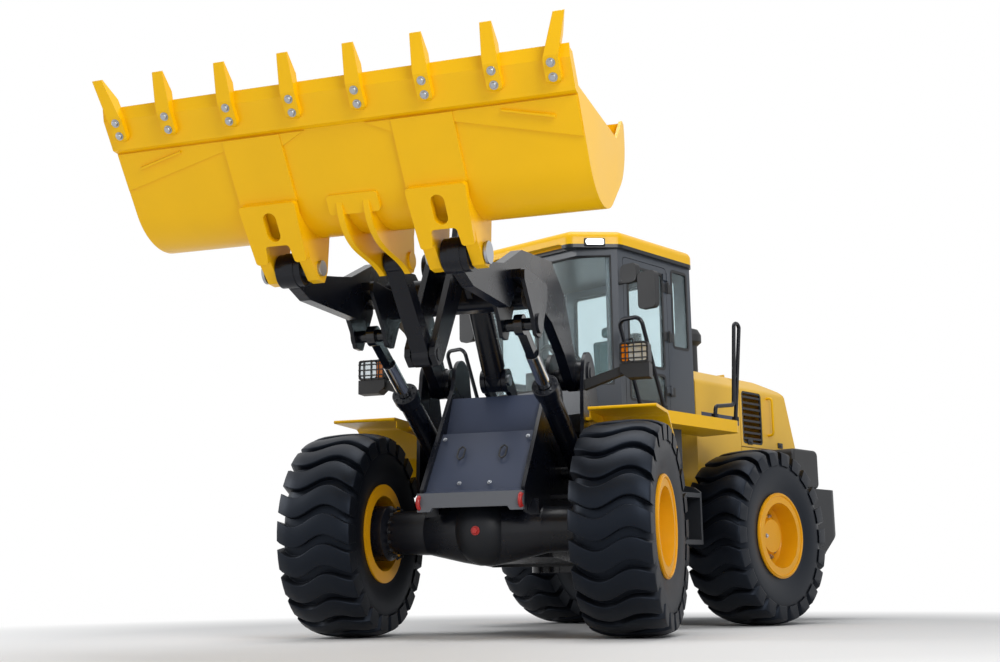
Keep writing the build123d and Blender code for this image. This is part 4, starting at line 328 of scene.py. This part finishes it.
# rolled sheet of tanks and steps
tank = finish("tank_sheet", "#20252D", 0.45, dust=0.15)
# moulded roof shell: yellow on top, with a dark trim along its lower edge and underside
shell = finish("roof_moulding", bright_yellow, 0.32, coat=0.1, shine=0.25,
               painted_end=(down_z, -(sink + roof_trim_z), "#14171C"))
# wheel enamel, a deeper yellow than the bucket's
wheel = finish("wheel_enamel", "#E8A400", 0.38, coat=0.05, shine=0.25, dust=0.06)
# red enamel of hooks, plugs and markers
red = finish("red_enamel", "#B3201C", 0.35, coat=0.2)
# white marker sheet
white = finish("white_sheet", "#E9EAEA", 0.4)
# lens glass of the lamps: bright and slightly ribbed
lens = finish("lamp_lens", "#DCE6EA", 0.08, metal=0.6, grain_mm=9.0, grain=0.25, spread=0.03, coat=0.6,
              edge_mm=2.0)
# pale blue-green glazing, thin enough to see the seat through it
glass = finish("cab_glass", "#E4F1F4", 0.04, spread=0.01, grain=0.0, edge_mm=1.0,
               **{"Transmission Weight": 0.93, "IOR": 1.12})
# silvered mirror glass
mirror_glass = finish("mirror_glass", "#DDE3E6", 0.04, metal=1.0, spread=0.01, grain=0.0)
print("rods are painted past", round(lift_limit, 3), "and", round(tilt_limit, 3))

# %% [markdown]
# The record's slots say which solid takes which finish, so the solids are painted from that list. The rods then
# get their own chrome, and the added pieces take the same materials later.

# %% Paint the solids
slot_paint = {"yellow_paint": yellow, "pale_yellow_paint": pale, "navy_paint": navy, "slate_paint": slate,
              "grey_paint": grey, "dark_grey": iron, "tyre_rubber": rubber, "black_plastic": plastic,
              "seat_fabric": cloth, "chrome_rod": chrome, "steel_pin": steel, "amber": amber,
              "engine_iron": block_iron, "tank_sheet": tank, "roof_shell": shell, "wheel_yellow": wheel}
for part in frame["record"]["subparts"]:
    solid = frame["nodes"][part["node"]]
    solid.data.materials.clear()
    solid.data.materials.append(slot_paint[part["material_slot"]])
for name, special in (("lift_rod_left", lift_chrome), ("lift_rod_right", lift_chrome), ("tilt_rod", tilt_chrome)):
    frame["nodes"][name].data.materials[0] = special

# %% [markdown]
# A loader tyre is a thick carcass with deep lugs. On this tread every lug is one long wave right across the
# crown, and its ends stand out at the shoulders. The carcass is a profile spun about the axle. A lug starts as
# a flat grid that is bent to the wave and wrapped round the carcass, then drawn down into the rubber and bevelled.

# %% Tyres
lugs, half_width, crown = 22, 0.300, 0.7985
lug_half, lug_deep, shoulder_deep, lug_round = 0.080, 0.070, 0.055, 0.009
wave_high, wave_from, wave_over = 0.052, -18, 208
profile = [(0.330, 0.248), (0.403, 0.250), (0.440, 0.262), (0.520, 0.281), (0.595, 0.288), (0.645, 0.284),
           (0.685, 0.266), (0.714, 0.234), (0.735, 0.180), (0.746, 0.090)]
ring = profile + [(0.751, 0.0)] + [(r, -y) for r, y in reversed(profile)]
tyre = bmesh.new()
spun(tyre, [(r, y, 0) for r, y in ring], (0, 1, 0), 132)
pitch = 2 * math.pi / lugs
for i in range(lugs):
    grid = bmesh.ops.create_grid(tyre, x_segments=18, y_segments=2, size=1.0)["verts"]
    for vert in grid:
        across, along = vert.co.x, vert.co.y
        wave = wave_high * math.sin(math.radians(wave_from + wave_over * across)) * (1.0 - 0.15 * abs(across))
        turn = i * pitch + (wave + along * lug_half) / crown
        # the crown falls off a little, and faster over the shoulders
        r = crown - 0.018 * max(0.0, abs(across) - 0.72) / 0.28 - 0.026 * across ** 2
        vert.co = Vector((r * math.cos(turn), across * half_width * 0.985, r * math.sin(turn)))
    faces = {face for vert in grid for face in vert.link_faces}
    grown = bmesh.ops.extrude_face_region(tyre, geom=list(faces), use_keep_orig=True)["geom"]
    for vert in new_verts(grown):
        depth = lug_deep + shoulder_deep * max(0.0, abs(vert.co.y) / half_width - 0.80) / 0.2
        vert.co -= Vector((vert.co.x, 0, vert.co.z)).normalized() * depth
    border = [e for e in tyre.edges if all(v in grid for v in e.verts) and e.calc_face_angle(0.0) > 0.9]
    bmesh.ops.bevel(tyre, geom=border, offset=lug_round, affect="EDGES", segments=2, profile=0.5, material=-1)
tyre_mesh = bpy.data.meshes.new("tyre_pattern")
tyre.to_mesh(tyre_mesh)
tyre.free()
wheels = []
for end, half in (("front", 0.0), ("rear", rear_turn)):
    for side, s in sides:
        spot = Vector(joints[f"wheel_{end}_{side}_spin"]["pos_m"])
        wheels.append((f"{end}_{side}", s, Matrix.Translation(spot) @ Matrix.Rotation(half, 4, "Z")))
for corner, s, place in wheels:
    flip = Matrix.Rotation(math.pi if s < 0 else 0.0, 4, "Z")
    bm = bmesh.new()
    bm.from_mesh(tyre_mesh)
    bmesh.ops.transform(bm, matrix=place @ flip, verts=bm.verts)
    made = settle(f"tread_{corner}", bm, rubber, f"wheel_{corner}", crisp=50)
    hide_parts(f"tyre_{corner}")
print("tyre faces", len(tyre_mesh.polygons))

# %% [markdown]
# The wheel is bolted through its disc, its rim carries a lock ring, and the hub's cover has its own ring of
# small bolts and a drain plug. Fasteners are turned round the axle in a pattern.

# %% Wheel nuts and lock rings
# each ring of fasteners: how many, its radius, how far out it sits, and the bolt's radius and height
nut_rings = ((20, 0.231, 0.0595, 0.017, 0.026), (14, 0.178, 0.1145, 0.008, 0.012), (1, 0.095, 0.1695, 0.016, 0.012))
lock_ring_r, lock_ring_out, lock_bar_r = 0.366, 0.266, 0.010
for corner, s, place in wheels:
    axle = place @ Matrix.Rotation(-s * math.pi / 2, 4, "X")
    bm = bmesh.new()
    for fasteners in nut_rings:
        bolt_ring(bm, axle, *fasteners)
    settle(f"wheel_nuts_{corner}", bm, steel, f"wheel_{corner}")
    bm = bmesh.new()
    loop = bmesh.ops.create_circle(bm, segments=10, radius=lock_bar_r)["verts"]
    turn = Matrix.Translation((lock_ring_r, 0, lock_ring_out)) @ Matrix.Rotation(math.pi / 2, 4, "X")
    bmesh.ops.transform(bm, matrix=turn, verts=loop)
    bmesh.ops.spin(bm, geom=bm.verts[:] + bm.edges[:], cent=(0, 0, 0), axis=(0, 0, 1), angle=2 * math.pi,
                   steps=72, use_merge=True)
    bmesh.ops.transform(bm, matrix=axle, verts=bm.verts)
    settle(f"lock_ring_{corner}", bm, wheel, f"wheel_{corner}")
print("nuts and rings on", len(wheels), "wheels")

# %% [markdown]
# The cab is mostly glass. Each pane is a rounded rectangle, drawn out to its thickness, and sits in a rubber
# seal. The seal is the same outline inset and kept as a frame. Door panes ride on the doors.

# %% Cab glass and seals
cab = {"floor": 1.850, "top": 3.330, "rear": -1.250, "side": -0.120, "front": 0.110, "half": 0.780,
       "front_half": 0.500}
glass_in, glass_thick = 0.012, 0.006
pane_slack, pane_corner = 0.004, 0.038
seal_over, seal_wide, seal_proud, seal_corner = 0.016, 0.024, 0.014, 0.044
window_low, window_high = cab["floor"] + 0.250, cab["top"] - 0.060
door_back, door_front = cab["rear"] + 0.390, cab["side"] - 0.070
door_mid, door_wide = (door_back + door_front) / 2, door_front - door_back - 0.130
door_low, door_high = cab["floor"] + 0.060, cab["top"] - 0.060
rail_z = door_low + 0.340
back_wide, back_high = 1.240, 0.62 * (cab["top"] - cab["floor"])
back_z = cab["top"] - 0.080 - back_high / 2
panes = [("back", (cab["rear"] + glass_in, 0, back_z), (-1, 0, 0), back_wide, back_high, "rear_body")]
for side, s in sides:
    y = s * (cab["half"] - glass_in)
    panes.append((f"quarter_{side}", (cab["rear"] + 0.185, y, cab["top"] - 0.430), (0, s, 0), 0.250, 0.740,
                  "rear_body"))
    panes.append((f"door_high_{side}", (door_mid, y, (rail_z + 0.055 + door_high - 0.065) / 2), (0, s, 0),
                  door_wide, door_high - 0.120 - rail_z, f"door_{side}"))
    panes.append((f"door_low_{side}", (door_mid, y, (door_low + 0.070 + rail_z) / 2), (0, s, 0), door_wide,
                  rail_z - door_low - 0.070, f"door_{side}"))
for name, spot, out, wide, high, body in panes:
    out = Vector(out)
    place = rear_half @ Matrix.Translation(spot) @ axes(up_z.cross(out).normalized(), up_z, out)
    bm = bmesh.new()
    face = sheet_face(bm, place, wide - pane_slack, high - pane_slack, pane_corner)
    thicken(bm, face, -glass_thick)
    settle(f"glass_{name}", bm, glass, body)
    bm = bmesh.new()
    face = sheet_face(bm, place @ Matrix.Translation((0, 0, 0.001)), wide + seal_over, high + seal_over, seal_corner)
    bmesh.ops.inset_region(bm, faces=face, thickness=seal_wide, depth=0.0, use_boundary=True, use_even_offset=True)
    bmesh.ops.delete(bm, geom=face, context="FACES")
    bm.normal_update()
    thicken(bm, bm.faces[:], seal_proud)
    settle(f"seal_{name}", bm, plastic, body)
print("panes", len(panes))

# %% [markdown]
# The windscreen is one sheet that wraps round the front of the cab. Its plan is a line with two soft bends. The
# line is drawn up into a wall, the wall is given its thickness, and a rubber bead runs round its border.

# %% Windscreen
post_wide, bend_reach, bead_r, bead_bend, bead_in = 0.037, 0.17, 0.012, 0.008, 0.006
narrowing, nose = cab["half"] - cab["front_half"], cab["front"] - cab["side"]
inward = Vector((narrowing, nose)).normalized() * glass_in
bends = [Vector((cab["side"] + post_wide, cab["half"] - narrowing * post_wide / nose)) - inward,
         Vector((cab["front"] - glass_in, cab["front_half"] - pane_slack))]
bends += [Vector((p.x, -p.y)) for p in reversed(bends)]
plan = [bends[0]]
for before, corner, after in zip(bends, bends[1:], bends[2:]):
    start = (before - corner).normalized() * bend_reach
    end = (after - corner).normalized() * bend_reach
    plan += [corner + start * (1 - i / 8) ** 2 + end * (i / 8) ** 2 for i in range(9)]
plan.append(bends[-1])
bm = bmesh.new()
foot = [bm.verts.new((p.x, p.y, window_low + pane_slack / 2)) for p in plan]
line = [bm.edges.new(pair) for pair in zip(foot, foot[1:])]
grown = bmesh.ops.extrude_edge_only(bm, edges=line)["geom"]
bmesh.ops.translate(bm, vec=(0, 0, window_high - window_low - pane_slack), verts=new_verts(grown))
bmesh.ops.recalc_face_normals(bm, faces=bm.faces)
bmesh.ops.solidify(bm, geom=bm.faces[:], thickness=glass_thick)
bmesh.ops.transform(bm, matrix=rear_half, verts=bm.verts)
settle("glass_front", bm, glass, "rear_body")
bm = bmesh.new()
low_line = [(p.x, p.y, window_low + bead_in) for p in plan]
high_line = [(p.x, p.y, window_high - bead_in) for p in reversed(plan)]
tube(bm, low_line + high_line, bead_r, bead_bend, around=8, closed=True)
bmesh.ops.transform(bm, matrix=rear_half, verts=bm.verts)
settle("seal_front", bm, plastic, "rear_body")
print("windscreen bends", len(plan))

# %% [markdown]
# The driver's seat is foam under cloth: a cushion, a back and a head rest. Each starts as a rounded block, a
# little too small. It is remeshed evenly and blown up by a short cloth simulation without gravity, as foam
# fills a cover. How far a point may move is capped, and the sewn channels are pressed in afterwards.

# %% Seat cushion
def stuffed(name, bm, voxel, cap):
    mesh = bpy.data.meshes.new(name)
    bm.to_mesh(mesh)
    bm.free()
    pad = bpy.data.objects.new(name, mesh)
    bpy.context.scene.collection.objects.link(pad)
    even = pad.modifiers.new("even", "REMESH")
    even.mode = "VOXEL"
    even.voxel_size = voxel
    pad.data = bpy.data.meshes.new_from_object(pad.evaluated_get(bpy.context.evaluated_depsgraph_get()))
    pad.modifiers.remove(even)
    home = [vert.co.copy() for vert in pad.data.vertices]
    air = pad.modifiers.new("air", "CLOTH").settings
    air.use_pressure = True
    air.uniform_pressure_force = 4.0
    air.effector_weights.gravity = 0.0
    for moment in range(1, 21):
        bpy.context.scene.frame_set(moment)
    blown = bpy.data.meshes.new_from_object(pad.evaluated_get(bpy.context.evaluated_depsgraph_get()))
    for vert, start in zip(blown.vertices, home):
        step = vert.co - start
        vert.co = start + step.normalized() * min(step.length, cap)
    bpy.data.objects.remove(pad)
    bpy.context.scene.frame_set(1)
    return blown


seat_low, seat_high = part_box("seat")
pad_round, pad_voxel, pad_swell = 0.034, 0.010, 0.020
channel_y, channel_deep, channel_wide, channel_from = 0.125, 0.012, 0.013, 0.03
whole = bmesh.new()
for name, centre, size, face in (("base", (-0.800, 0, 2.255), (0.47, 0.48, 0.13), (0, 0, 1)),
                                 ("back", (-1.035, 0, 2.525), (0.105, 0.46, 0.43), (1, 0, 0)),
                                 ("head", (-1.045, 0, 2.808), (0.075, 0.26, 0.105), (0, 0, 0))):
    bm = bmesh.new()
    block(bm, Matrix.Translation(centre), size, pad_round, 4)
    pad = stuffed(f"pad_{name}", bm, pad_voxel, pad_swell)
    for vert in pad.vertices:
        above = (vert.co - Vector(centre)).dot(Vector(face))
        dip = sum(math.exp(-((vert.co.y - y) / channel_wide) ** 2) for y in (channel_y, -channel_y))
        vert.co -= Vector(face) * channel_deep * dip * min(1.0, max(0.0, above / channel_from))
    whole.from_mesh(pad)
bmesh.ops.transform(whole, matrix=rear_half, verts=whole.verts)
bmesh.ops.smooth_vert(whole, verts=whole.verts, factor=0.4, use_axis_x=True, use_axis_y=True, use_axis_z=True)
print("cushion faces", len(whole.faces), "over the seat's place", [round(v, 3) for v in seat_high - seat_low])
cushion = settle("seat_cushion", whole, cloth, "rear_body", crisp=60)
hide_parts("seat")

# %% [markdown]
# The bucket's teeth are bolted through the cutting edge, two bolts to a tooth, with their heads below. The two
# outer teeth are splayed, so their bolts follow the splay. The bolts stand along the floor's outward normal.

# %% Tooth bolts
teeth, edge_half, tooth_wide = 8, 1.508, 0.062
outer_y = edge_half + 0.008 - 0.080 - 0.092 * 0.36
bolt_rows, bolt_level = (0.116, 0.199), -0.0755
heads_down = Matrix.Rotation(math.pi, 4, "X")
step = (2 * edge_half - tooth_wide) / (teeth - 1)
bm = bmesh.new()
for i in range(teeth):
    y = (i - (teeth - 1) / 2) * step
    if i in (0, teeth - 1):
        y = math.copysign(outer_y, y)
    for along in bolt_rows:
        bolt(bm, bucket_floor @ Matrix.Translation((along, y, bolt_level)) @ heads_down, 0.020, 0.018)
settle("tooth_bolts", bm, steel, "bucket")
print("tooth bolts", teeth * len(bolt_rows))

# %% [markdown]
# Small fittings finish the front: lamp lenses and amber repeaters behind the guards, two hexagon handles and
# four bolts on the sloped cover, and red tow hooks on the walls' lower front edges.

# %% Lamps, cover and hooks
lamp_x, lamp_y, lamp_z, lamp_high, lens_deep = 1.336, 1.120, 2.172, 0.136, 0.012
to_front = axes((0, 1, 0), (0, 0, 1), (1, 0, 0))
for side, s in sides:
    for name, paint, y, wide, corner in (("lens", lens, lamp_y + 0.028, 0.140, 0.020),
                                         ("amber", amber, lamp_y - 0.074, 0.050, 0.014)):
        bm = bmesh.new()
        place = front_half @ Matrix.Translation((lamp_x, s * y, lamp_z)) @ to_front
        thicken(bm, sheet_face(bm, place, wide, lamp_high, corner), lens_deep)
        settle(f"lamp_{name}_{side}", bm, paint, "front_body")
slope = math.atan2(0.476, -0.375)
cover = front_half @ Matrix.Translation((axle_x + 0.1475, 0, axle_z + 0.528)) @ Matrix.Rotation(-slope, 4, "Y")
grip = [(0.070, 0.0), (0.040, 0.026), (-0.040, 0.026), (-0.070, 0.0), (-0.040, -0.026), (0.040, -0.026)]
grip_along, grip_y, grip_level, cover_level = 0.06, 0.17, -0.029, -0.0225
bm = bmesh.new()
for y in (grip_y, -grip_y):
    loop = [cover @ Vector((grip_along + a, y + b, grip_level)) for a, b in grip]
    tube(bm, loop, 0.007, 0.008, around=8, closed=True)
settle("cover_handles", bm, plastic, "front_body")
bm = bmesh.new()
for x, y in ((-0.25, 0.12), (-0.25, -0.12), (0.22, 0.34), (0.22, -0.34)):
    bolt(bm, cover @ Matrix.Translation((x, y, cover_level)) @ heads_down, 0.013, 0.012)
settle("cover_bolts", bm, steel, "front_body")
hook_x, hook_y, hook_z, hook_r, hook_bar_r = 2.068, 0.40, 1.0, 0.045, 0.017
bm = bmesh.new()
for side, s in sides:
    loop = bmesh.ops.create_circle(bm, segments=10, radius=hook_bar_r)["verts"]
    rim = list({e for v in loop for e in v.link_edges})
    hook = front_half @ Matrix.Translation((hook_x, s * hook_y, hook_z))
    place = hook @ Matrix.Translation((0, 0, hook_r)) @ Matrix.Rotation(math.pi / 2, 4, "Y")
    bmesh.ops.transform(bm, matrix=place, verts=loop)
    bmesh.ops.spin(bm, geom=loop + rim, cent=hook.translation, axis=(0, 1, 0), angle=math.pi, steps=16)
settle("tow_hooks", bm, red, "front_body")
print("lamps, cover and hooks made")

# %% [markdown]
# The axle's bowl is cast round, with a red plug at its nose. Each lift barrel ends in a bolted collar, and both
# axles carry a ring of bolts behind every wheel.

# %% Axle bowl, collars and drums
bowl = [(0.000, 0.311), (0.060, 0.306), (0.120, 0.287), (0.175, 0.252), (0.220, 0.200), (0.250, 0.135),
        (0.266, 0.060), (0.262, 0.000)]
bowl_place = front_half @ Matrix.Translation((axle_x, 0, axle_z)) @ Matrix.Rotation(math.pi / 2, 4, "Y")
bm = bmesh.new()
spun(bm, [(r, 0, out) for r, out in bowl], (0, 0, 1), 64)
bmesh.ops.holes_fill(bm, edges=[e for e in bm.edges if e.is_boundary], sides=0)
bmesh.ops.transform(bm, matrix=bowl_place, verts=bm.verts)
settle("axle_bowl", bm, iron, "front_body", crisp=60)
bm = bmesh.new()
bolt(bm, bowl_place @ Matrix.Translation((0.010, 0, 0.309)), 0.026, 0.022)
settle("axle_plug", bm, red, "front_body")
collar = [(0.058, 1.085), (0.097, 1.085), (0.103, 1.091), (0.103, 1.152), (0.097, 1.158), (0.058, 1.158)]
square = Vector((lift_way.z, 0, -lift_way.x))
along_lift = axes(square, lift_way.cross(square), lift_way)
for side, s in sides:
    base = Vector(joints[f"lift_swing_{side}"]["pos_m"])
    bm = bmesh.new()
    spun(bm, [(r, 0, along) for r, along in collar], (0, 0, 1), 48, closed=True)
    bolt_ring(bm, Matrix.Identity(4), 8, 0.078, 1.157, 0.009, 0.011)
    bmesh.ops.transform(bm, matrix=Matrix.Translation(base) @ along_lift, verts=bm.verts)
    settle(f"lift_collar_{side}", bm, navy, f"lift_barrel_{side}")
drum_y = 0.757
for end, half, x in (("front", front_half, axle_x), ("rear", rear_half, -axle_x)):
    for side, s in sides:
        drum = half @ Matrix.Translation((x, s * drum_y, axle_z)) @ Matrix.Rotation(s * math.pi / 2, 4, "X")
        bm = bmesh.new()
        bolt_ring(bm, drum, 16, 0.192, 0.0, 0.013, 0.022)
        settle(f"drum_bolts_{end}_{side}", bm, iron, f"{end}_body")
print("bowl, collars and drum bolts made")

# %% [markdown]
# The tail and the cab get their fittings too: grab handles and latches on the lid, a narrow stripe on the cowl,
# red and white marker tiles on the counterweight, mirror faces, and handles and hinges on the doors.

# %% Tail and door fittings
lid_x, lid_wall, lid_proud, lid_first, lid_last = -2.760, 0.640, 0.715, 2.240, 1.860
latch_z, latch_plate, latch_key = 1.770, (0.09, 0.016, 0.055), (0.05, 0.012, 0.020)
tile_x, tile_step, tile_y, tile_z, tile = -2.760, 0.07, 1.0015, 1.245, (0.068, 0.004, 0.060)
mirror_x = -0.1705
door_x, door_wall, door_proud, door_first, door_last = -0.255, 0.775, 0.822, 2.330, 2.520
leaf_shift, leaf_y, leaf, knuckle_half, knuckle_r = 0.046, 0.783, (0.062, 0.010, 0.085), 0.052, 0.0105
to_back = axes((0, 1, 0), (0, 0, -1), (-1, 0, 0))
for side, s in sides:
    bm = bmesh.new()
    grab(bm, lid_x, s * lid_wall, s * lid_proud, lid_first, lid_last, 0.013, 0.04)
    bmesh.ops.transform(bm, matrix=rear_half, verts=bm.verts)
    settle(f"lid_handle_{side}", bm, yellow, "hood_lid")
    bm = bmesh.new()
    for x in (-2.400, -2.980):
        block(bm, rear_half @ Matrix.Translation((x, s * 0.654, latch_z)), latch_plate, 0.006)
        block(bm, rear_half @ Matrix.Translation((x, s * 0.664, latch_z)), latch_key, 0.004)
    settle(f"lid_latches_{side}", bm, plastic, "hood_lid")
    bm = bmesh.new()
    block(bm, rear_half @ Matrix.Translation((-1.880, s * 0.6505, 1.960)), (0.66, 0.004, 0.085), 0.0015, 1)
    settle(f"cowl_stripe_{side}", bm, slate, "rear_body")
    for colour, name, spots in ((red, "red", (0, 2)), (white, "white", (1, 3))):
        bm = bmesh.new()
        for i in spots:
            place = rear_half @ Matrix.Translation((tile_x - tile_step * i, s * tile_y, tile_z))
            block(bm, place, tile, 0.0015, 1)
        settle(f"marker_{name}_{side}", bm, colour, "rear_body")
    bm = bmesh.new()
    for beside, z, wide, high in ((0.310, 2.900, 0.165, 0.300), (0.120, 3.080, 0.145, 0.145)):
        place = rear_half @ Matrix.Translation((mirror_x, s * (cab["half"] + beside), z)) @ to_back
        thicken(bm, sheet_face(bm, place, wide, high, 0.035), 0.002)
    settle(f"mirror_faces_{side}", bm, mirror_glass, "rear_body")
    bm = bmesh.new()
    grab(bm, door_x, s * door_wall, s * door_proud, door_first, door_last, 0.009, 0.02)
    bmesh.ops.transform(bm, matrix=rear_half, verts=bm.verts)
    settle(f"door_handle_{side}", bm, plastic, f"door_{side}")
    axis = rear_half.inverted() @ Vector(joints[f"door_{side}_open"]["pos_m"])
    for body, shift, part in ((f"door_{side}", leaf_shift, "door"), ("rear_body", -leaf_shift, "post")):
        bm = bmesh.new()
        for z in (2.110, 2.620, 3.080):
            block(bm, rear_half @ Matrix.Translation((axis.x + shift, s * leaf_y, z)), leaf, 0.003)
            if part == "post":
                ends = [rear_half @ Vector((axis.x, axis.y, z + dz)) for dz in (-knuckle_half, knuckle_half)]
                tube(bm, ends, knuckle_r, 0.02)
        settle(f"hinge_{part}_{side}", bm, plastic, body)
print("tail and door fittings made")

# %% [markdown]
# Two work lamps look out from under the roof's front corners. Each tail lamp sits on the box beside the tail,
# with a red and an amber lens. One wiper stands in front of the windscreen.

# %% Roof lamps, tail lamps and wiper
lens_corner, lens_proud = 0.016, 0.007
behind = axes((0, -1, 0), (0, 0, 1), (-1, 0, 0))
for side, s in sides:
    facing = Vector((0.32, s * 0.34, 0)).normalized()
    spot = Matrix.Translation(Vector((0.05, s * 0.66, 3.376)) - facing * 0.004)
    place = rear_half @ spot @ axes(up_z.cross(facing), up_z, facing)
    bm = bmesh.new()
    block(bm, place, (0.190, 0.076, 0.040), 0.012, 3)
    settle(f"roof_lamp_{side}", bm, plastic, "rear_body")
    bm = bmesh.new()
    face = sheet_face(bm, place @ Matrix.Translation((0, 0, 0.018)), 0.160, 0.052, lens_corner)
    thicken(bm, face, lens_proud)
    settle(f"roof_lens_{side}", bm, lens, "rear_body")
    place = rear_half @ Matrix.Translation((-3.128, s * 0.830, 1.560)) @ behind
    bm = bmesh.new()
    block(bm, place, (0.250, 0.120, 0.036), 0.014, 3)
    settle(f"tail_lamp_{side}", bm, plastic, "rear_body")
    for colour, name, shift in ((red, "red", -s * 0.058), (amber, "amber", s * 0.058)):
        bm = bmesh.new()
        face = sheet_face(bm, place @ Matrix.Translation((shift, 0, 0.016)), 0.100, 0.092, lens_corner)
        thicken(bm, face, lens_proud)
        settle(f"tail_lens_{name}_{side}", bm, colour, "rear_body")
bm = bmesh.new()
tube(bm, [(0.116, 0.05, 2.09), (0.150, 0.05, 2.10), (0.140, 0.05, 2.62)], 0.009, 0.03)
tube(bm, [(0.134, 0.05, 2.36), (0.134, 0.05, 2.90)], 0.007, 0.02)
bmesh.ops.transform(bm, matrix=rear_half, verts=bm.verts)
settle("wiper", bm, plastic, "rear_body")
print("lamps and wiper made")

# %% [markdown]
# The photograph is a cut-out on white with a soft shadow under the wheels. A pale floor keeps the shadow, and near
# the machine its dull grey is a painted soft shadow round the machine; it fades to white with distance. The world is
# white to the camera, and to glass and metal, but lights the machine only softly.

# %% Floor and world
floor_r, fade_from, fade_to, sky_strength = 60.0, 4.2, 7.5, 0.35
full_white = (1, 1, 1, 1)
floor_mesh = bmesh.new()
bmesh.ops.create_circle(floor_mesh, cap_ends=True, segments=64, radius=floor_r)
floor_data = bpy.data.meshes.new("floor")
floor_mesh.to_mesh(floor_data)
floor_mesh.free()
floor = bpy.data.objects.new("floor", floor_data)
bpy.context.scene.collection.objects.link(floor)
# seamless studio paper: dull and near white; near the machine its grey is a painted soft shadow, and further off it
# turns plain white
paper = bpy.data.materials.new("studio_paper_painted_shadow")
paper.use_nodes = True
tree = paper.node_tree
tree.nodes.clear()
where = shader(tree, "ShaderNodeTexCoord").outputs["Object"]
far = shader(tree, "ShaderNodeVectorMath", {0: where}, operation="LENGTH").outputs["Value"]
fade = shader(tree, "ShaderNodeMapRange", {"Value": far, "From Min": fade_from,
                                           "From Max": fade_to}).outputs["Result"]
# this grey, dull floor near the machine is a painted soft shadow round it
painted_shadow_matt = shader(tree, "ShaderNodeBsdfDiffuse", {"Color": srgb("#E6E6E6")}).outputs["BSDF"]
plain = shader(tree, "ShaderNodeEmission", {"Color": full_white, "Strength": 1.0}).outputs["Emission"]
mixed = shader(tree, "ShaderNodeMixShader", {0: fade, 1: painted_shadow_matt, 2: plain}).outputs["Shader"]
shader(tree, "ShaderNodeOutputMaterial", {"Surface": mixed})
floor_data.materials.append(paper)

world = bpy.data.worlds.new("studio")
world.use_nodes = True
tree = world.node_tree
tree.nodes.clear()
ray = shader(tree, "ShaderNodeLightPath").outputs
seen = ray["Is Camera Ray"]
for kind in ("Is Transmission Ray", "Is Glossy Ray"):
    seen = shader(tree, "ShaderNodeMath", {0: seen, 1: ray[kind]}, operation="MAXIMUM").outputs["Value"]
soft = shader(tree, "ShaderNodeBackground", {"Color": srgb("#F3F6FA"),
                                             "Strength": sky_strength}).outputs["Background"]
blank = shader(tree, "ShaderNodeBackground", {"Color": full_white, "Strength": 1.0}).outputs["Background"]
both = shader(tree, "ShaderNodeMixShader", {0: seen, 1: soft, 2: blank}).outputs["Shader"]
shader(tree, "ShaderNodeOutputWorld", {"Surface": both})
bpy.context.scene.world = world
print("floor fades from", fade_from, "to", fade_to, "metres")

# %% [markdown]
# Three large soft lamps shape the machine: one high above, one in front of its left side, and a weaker one on its
# right. The camera stands low in front of the left wheel, as in the photograph.

# %% Lamps and camera
# each lamp: its place, what it looks at, its width and its power
lamps = (("overhead", (0.5, 0.3, 12.0), (0.3, 0, 1.0), 9.0, 600),
         ("key", (9.0, 6.5, 6.5), (1.5, 0, 1.6), 5.0, 560),
         ("side", (3.5, -9.0, 5.0), (1.0, 0, 1.5), 5.0, 280))
for name, spot, aim, size, power in lamps:
    lamp = bpy.data.lights.new(name, "AREA")
    lamp.shape = "DISK"
    lamp.size = size
    lamp.energy = power
    stand = bpy.data.objects.new(name, lamp)
    stand.location = spot
    stand.rotation_euler = (Vector(aim) - Vector(spot)).to_track_quat("-Z", "Y").to_euler()
    bpy.context.scene.collection.objects.link(stand)

# the photograph's own camera: where it stood, how it was turned, and its focal length in pixels
eye = Vector((11.133, 3.183, 0.387))
yaw, pitch_up, roll = math.radians(17.93), math.radians(11.19), math.radians(-0.74)
focal_px, photo_px, sensor_mm = 1285.7, 1000, 36.0
ahead = Vector((-math.cos(yaw) * math.cos(pitch_up), -math.sin(yaw) * math.cos(pitch_up), math.sin(pitch_up)))
level = Vector((-math.sin(yaw), math.cos(yaw), 0))
over = level.cross(ahead)
right = level * math.cos(roll) + over * math.sin(roll)
up = over * math.cos(roll) - level * math.sin(roll)
lens_data = bpy.data.cameras.new("camera")
lens_data.sensor_width = sensor_mm
lens_data.lens = focal_px * sensor_mm / photo_px
camera = bpy.data.objects.new("camera", lens_data)
camera.matrix_world = Matrix.Translation(front_half @ eye) @ axes(right, up, -ahead)
bpy.context.scene.collection.objects.link(camera)
bpy.context.scene.camera = camera
bpy.context.scene.view_settings.view_transform = "Standard"
print("camera at", [round(v, 3) for v in camera.location])
